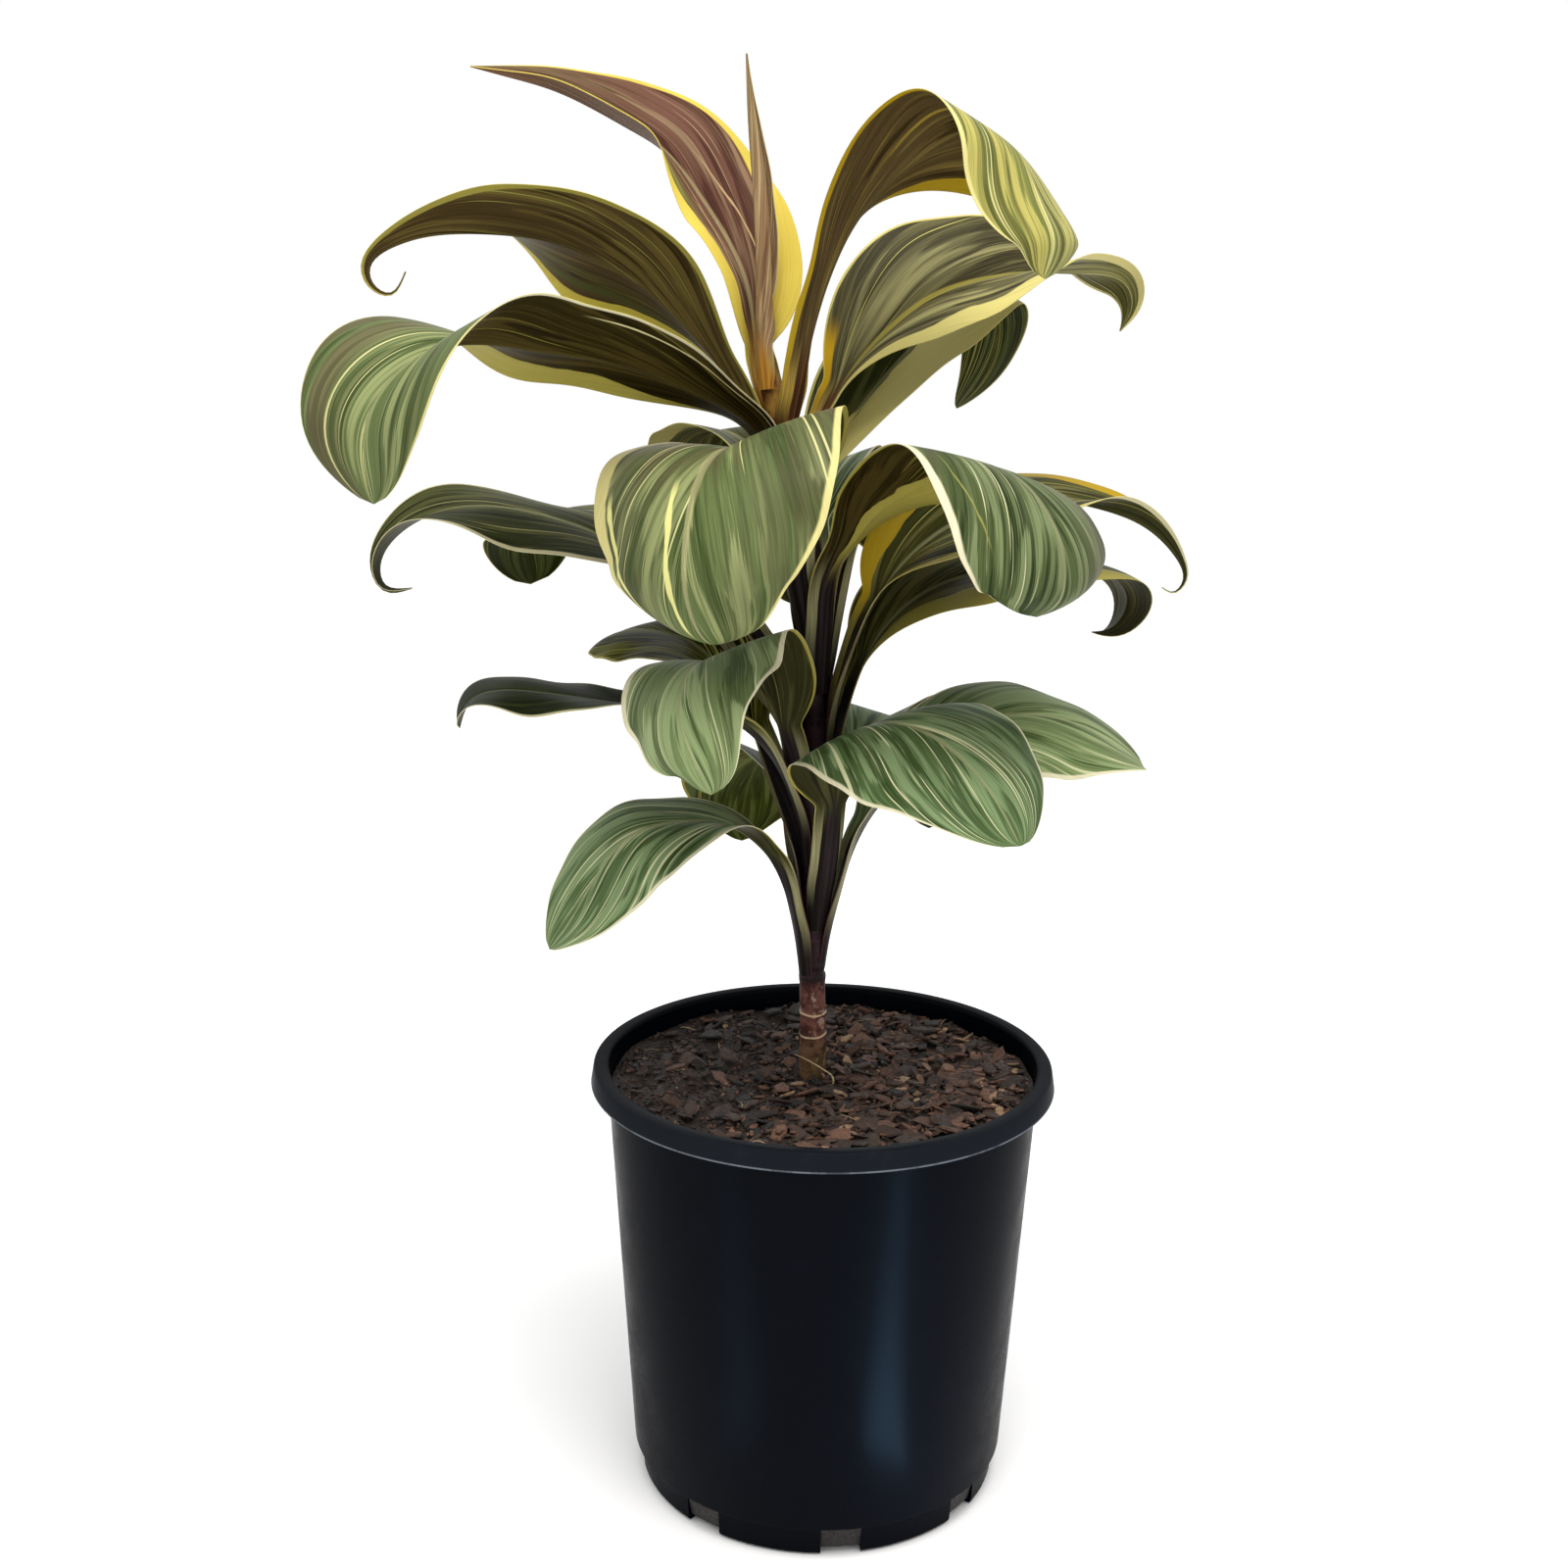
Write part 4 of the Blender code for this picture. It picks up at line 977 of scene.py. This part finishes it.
def bark_chips():
    """Loose flakes over the mix: coarse to the right and back, crumbs and fine flakes to the left."""
    draw = random.Random(20)
    points, faces, tones = [], [], []
    stem_x, stem_y = stem_at(MIX_TOP)
    kinds = ((2400, 1.2, 2.8, 0.8), (1300, 2.6, 5.5, 0.9), (620, 5.0, 10.0, 1.1), (210, 9.0, 15.5, 1.3))
    for count, small, large, thick in kinds:
        placed = 0
        while placed < count:
            t, r = draw.uniform(0, 2 * math.pi), 90.0 * math.sqrt(draw.random())
            x, y = r * math.cos(t), r * math.sin(t)
            size = draw.uniform(small, large)
            if r + size / 2 > 90.3 or math.hypot(x - stem_x, y - stem_y) < MIX_HOLE + size / 2:
                continue
            coarse = 0.5 + 0.5 * math.tanh((x + 12) / 28 - y / 160)
            if large > 5 and draw.random() > 0.15 + 0.85 * coarse:
                continue
            if large < 3 and draw.random() > 1.0 - 0.45 * coarse:
                continue
            placed += 1
            corners, flake = chip_points(draw, size, thick * draw.uniform(0.6, 1.3))
            flake = turned(flake, draw, 34 if size > 5 else 50)
            lift = draw.uniform(0.2, 1.2) + 0.10 * size
            flake = flake + np.array([x, y, mix_height(x, y) + lift])
            first = len(points)
            points.extend(flake)
            for k in range(corners):
                n = (k + 1) % corners
                for low in (first, first + corners):
                    faces.append((low + k, low + n, low + corners + n, low + corners + k))
            faces.append(tuple(first + k for k in range(corners))[::-1])
            faces.append(tuple(first + 2 * corners + k for k in range(corners)))
            tone = min(1.0, max(0.0, draw.gauss(0.3 + 0.16 * coarse, 0.24)))
            tones.extend([(tone, draw.random())] * (3 * corners))
    made = mesh_from("bark_chips", np.array(points) * MM, faces, {"chip": np.array(tones)})
    made.data.set_sharp_from_angle(angle=math.radians(28))
    made.data.materials.append(bark_material("bark_flakes"))
    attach(made, "root")


def fibre(points, faces, tones, route, width, thick, tone):
    """Adds a flat four sided strand along a route, pointed at both ends."""
    route = np.array(route, float)
    forward = np.gradient(route, axis=0)
    forward /= np.linalg.norm(forward, axis=1)[:, None]
    side = np.cross(forward, (0, 0, 1.0))
    side /= np.maximum(np.linalg.norm(side, axis=1), 1e-6)[:, None]
    up = np.cross(side, forward)
    first = len(points)
    count = len(route)
    for k in range(count):
        taper = 0.25 + 0.75 * math.sin(math.pi * (k + 0.3) / (count - 0.4)) ** 0.5
        for a, b in ((1, 0), (0, 1), (-1, 0), (0, -1)):
            points.append(route[k] + side[k] * width / 2 * a * taper + up[k] * thick / 2 * b * taper)
            tones.append((tone, 0.0))
    for k in range(count - 1):
        for i in range(4):
            j = (i + 1) % 4
            a, b = first + 4 * k + i, first + 4 * k + j
            faces.append((a, b, b + 4, a + 4))
    faces.append((first + 3, first + 2, first + 1, first))
    last = first + 4 * (count - 1)
    faces.append((last, last + 1, last + 2, last + 3))


def straw():
    """Dry fibres and needles in the mix, and the bent straw that leans on the stem's foot."""
    draw = random.Random(7)
    points, faces, tones = [], [], []
    for _ in range(46):
        t, r = draw.uniform(0, 2 * math.pi), 86.0 * math.sqrt(draw.random())
        x, y = r * math.cos(t), r * math.sin(t)
        if math.hypot(x + 4, y - 1) < 14:
            continue
        way, length, bow = draw.uniform(0, math.pi), draw.uniform(4, 12), draw.uniform(-1.0, 1.0)
        route = []
        for k in range(8):
            f = k / 7 - 0.5
            px = x + math.cos(way) * length * f - math.sin(way) * bow * (1 - 4 * f * f)
            py = y + math.sin(way) * length * f + math.cos(way) * bow * (1 - 4 * f * f)
            if math.hypot(px, py) > 89.5:
                break
            route.append((px, py, mix_height(px, py) + 2.6 + 0.8 * math.sin(0.5 * k + x)))
        if len(route) == 8:
            fibre(points, faces, tones, route, draw.uniform(0.3, 0.8), 0.3, draw.uniform(0.6, 1.0))
    bent = [(-12.0, -7.7, 193.6), (-8.6, -8.0, 192.4), (-5.0, -8.3, 190.6), (-1.5, -8.5, 188.6),
            (1.6, -8.7, 186.6), (4.0, -8.9, 185.0), (4.9, -9.4, 183.2), (4.6, -10.2, 181.4)]
    fibre(points, faces, tones, bent, 1.5, 0.6, 1.0)
    made = mesh_from("straw", np.array(points) * MM, faces, {"chip": np.array(tones)})
    p = Paint("dry_straw")
    tone_at, _ = p.uv("chip")
    tone = p.mix(p.step(tone_at, 0.7, 1.0), colour("5a4230"), colour("b59f74"))
    tone = p.mix(p.step(p.noise(p.place(), 900.0, 3.0), 0.4, 0.7, 0.0, 0.5), tone, colour("4c3a28"))
    p.cover(tone, 0.6)
    made.data.materials.append(p.material)
    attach(made, "root")


def cane_material():
    """Papery bark: brown at the foot, reddish above, dark in the crown and golden at its top."""
    p = Paint("cane_bark")
    place = p.place()
    right, back, height = p.parts(place)
    height = p.times(height, PER_METRE)
    grain = p.noise(place, 420.0, 4.0, 0.6)
    blotch = p.noise(place, 110.0, 3.0, 0.6)
    fleck = p.noise(place, 190.0, 4.0, 0.65)

    def mottled(noise, low, high, below, above):
        return p.mix(p.step(noise, low, high), colour(below), colour(above))

    tone = mottled(blotch, 0.42, 0.56, "35261b", "684c37")
    tone = p.mix(p.step(fleck, 0.56, 0.64, 0.0, 0.7), tone, colour("94794f"))
    reddish = mottled(blotch, 0.42, 0.58, "3e1f1b", "6c453a")
    reddish = p.mix(p.step(fleck, 0.54, 0.62, 0.0, 0.75), reddish, colour("a98a7a"))
    tone = p.mix(p.step(p.plus(height, p.times(blotch, 14.0)), 204, 210), tone, reddish)
    dusty = mottled(grain, 0.4, 0.6, "4a3a26", "7a6440")
    tone = p.mix(p.step(height, 196, 184, 0.0, 0.6), tone, dusty)
    crown = p.step(p.plus(height, p.times(blotch, 6.0)), 225, 229)
    tone = p.mix(crown, tone, mottled(blotch, 0.45, 0.6, "1c1216", "34222a"))
    tone = p.mix(p.step(height, 395, 430), tone, mottled(blotch, 0.4, 0.6, "6e3f24", "a9823a"))
    tone = p.mix(p.step(grain, 0.4, 0.7, 0.0, 0.4), tone, colour("3b2620"))
    around = p.math("ARCTAN2", p.minus(back, 0.001), p.plus(right, 0.0045))
    for level, size, phase in SCARS:
        at = p.plus(level + 0.5, p.times(p.math("SINE", p.plus(around, phase)), 1.1))
        off = p.math("ABSOLUTE", p.minus(height, at))
        scar = p.times(p.step(off, 0.2, 0.55, 0.9, 0.0), p.step(blotch, 0.4, 0.5, 0.35, 1.0))
        tone = p.mix(scar, tone, colour("c3a988"))
    p.cover(tone, 0.5)
    p.shader.inputs["Specular IOR Level"].default_value = 0.12
    p.bump(grain, 0.5, 0.0005)
    return p.material


def stem():
    """The cane with raised, slanting leaf scars and papery bark."""
    heights = np.concatenate([np.arange(STEM_FOOT, 250.0, 0.5), np.arange(250.0, 480.0, 4.0), [480.0, 481.0]])
    axis = np.array(STEM)
    sides, points = 48, []
    layer = []
    for z in heights:
        cx, cy = stem_at(z)
        radius = np.interp(z, axis[:, 0], axis[:, 3])
        if z < 225:
            radius = 5.85 - 0.35 * smooth((z - 190) / 30)
        if 219 <= z < 300:
            # the lowest leaves come out of two collars
            first, second = LEAVES[0]["path"][0][1], LEAVES[1]["path"][0][1]
            radius = 5.5 + 0.35 * smooth((z - first + 4) / 5) - 0.75 * smooth((z - first - 1.0) / 2.0)
            radius += 0.5 * smooth((z - second + 3) / 3) * (1 - smooth((z - second - 1.0) / 2.0))
            radius -= 0.75 * smooth((z - 270) / 25)
        for i in range(sides):
            t = 2 * math.pi * i / sides
            bulge = 0.0
            for height, size, phase in SCARS:
                level = height + 1.1 * math.sin(t + phase)
                off = z - level
                dip = 0.35 * math.exp(-(((off + 2.0) / 1.3) ** 2))
                bulge += size * 0.45 * (math.exp(-((off / 0.7) ** 2)) - dip)
            knob = 0.12 * math.sin(5 * t + 0.1 * z) if z < 222 else 0.0
            r = radius + bulge + knob
            points.append((cx + r * math.cos(t), cy + r * math.sin(t), z))
            layer.append((i / sides, z / 100))
    faces = []
    for k in range(len(heights) - 1):
        for i in range(sides):
            j = (i + 1) % sides
            faces.append((k * sides + i, k * sides + j, (k + 1) * sides + j, (k + 1) * sides + i))
    faces.append(tuple(range(sides))[::-1])
    faces.append(tuple((len(heights) - 1) * sides + i for i in range(sides)))
    made = mesh_from("cane", np.array(points) * MM, faces, {"bark": np.array(layer)})
    made.data.materials.append(cane_material())
    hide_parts("stem")
    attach(made, "root")


def camera():
    """The photograph's viewpoint."""
    forward = np.array([math.sin(YAW) * math.cos(PITCH), math.cos(YAW) * math.cos(PITCH), -math.sin(PITCH)])
    right = np.array([math.cos(YAW), -math.sin(YAW), 0.0])
    up = np.cross(right, forward)
    right, up = math.cos(ROLL) * right + math.sin(ROLL) * up, math.cos(ROLL) * up - math.sin(ROLL) * right
    data = bpy.data.cameras.new("camera")
    data.sensor_width = SENSOR
    data.lens = FOCAL_PIXELS / IMAGE_PIXELS * SENSOR
    data.clip_start = 0.01
    made = placed("camera", data)
    turn = Matrix([[right[i], up[i], -forward[i]] for i in range(3)]).to_4x4()
    made.matrix_world = Matrix.Translation((0.0, -CAMERA_BACK, CAMERA_HEIGHT)) @ turn
    bpy.context.scene.camera = made


def area(name, place, target, size, power, tint):
    """An area light aimed at a point."""
    data = bpy.data.lights.new(name, "AREA")
    data.shape = "RECTANGLE"
    data.size, data.size_y = size
    data.energy = power
    data.color = tint
    made = placed(name, data)
    made.location = place
    made.rotation_euler = (Vector(target) - Vector(place)).to_track_quat("-Z", "Y").to_euler()
    return made


def studio():
    """Pale floor, soft sky and soft lights."""
    bpy.context.scene.view_settings.view_transform = "Standard"
    world = bpy.data.worlds.new("studio")
    bpy.context.scene.world = world
    world.use_nodes = True
    sky = world.node_tree.nodes["Background"]
    sky.inputs[0].default_value = (1.0, 1.0, 1.0, 1.0)
    sky.inputs[1].default_value = 1.0
    bpy.ops.mesh.primitive_plane_add(size=60.0, location=(0, 0, -0.0005))
    floor = bpy.context.object
    floor.name = "floor"
    p = Paint("pale_floor")
    p.cover((1.0, 1.0, 1.0, 1.0), 0.9)
    floor.data.materials.append(p.material)
    area("top", (0.1, -0.5, 2.0), (0, 0, 0.4), (1.2, 1.0), 30.0, (1.0, 0.98, 0.94))
    # two strips that only the pot catches, for the long sheens down its wall
    lit = bpy.data.collections.new("pot_sheen")
    lit.objects.link(bpy.data.objects["pot_shell"])
    strips = (("right_strip", 0.043, -0.086, 43.0, 0.6), ("left_strip", -0.05, -0.09, -50.0, 0.1))
    for name, x, y, way, power in strips:
        turn = math.radians(way)
        middle = (x + 0.27 * math.sin(turn), y - 0.27 * math.cos(turn), 0.001)
        strip = area(name, middle, (middle[0], middle[1], 1.0), (0.035, 0.52), power, (0.3, 0.62, 1.0))
        strip.rotation_euler = (math.pi, 0.0, turn)
        strip.visible_camera = False
        strip.light_linking.receiver_collection = lit


camera()
pot()
studio()
potting_mix()
bark_chips()
straw()
stem()
for place, row in enumerate(LEAVES, 1):
    leaf_object(place, row)
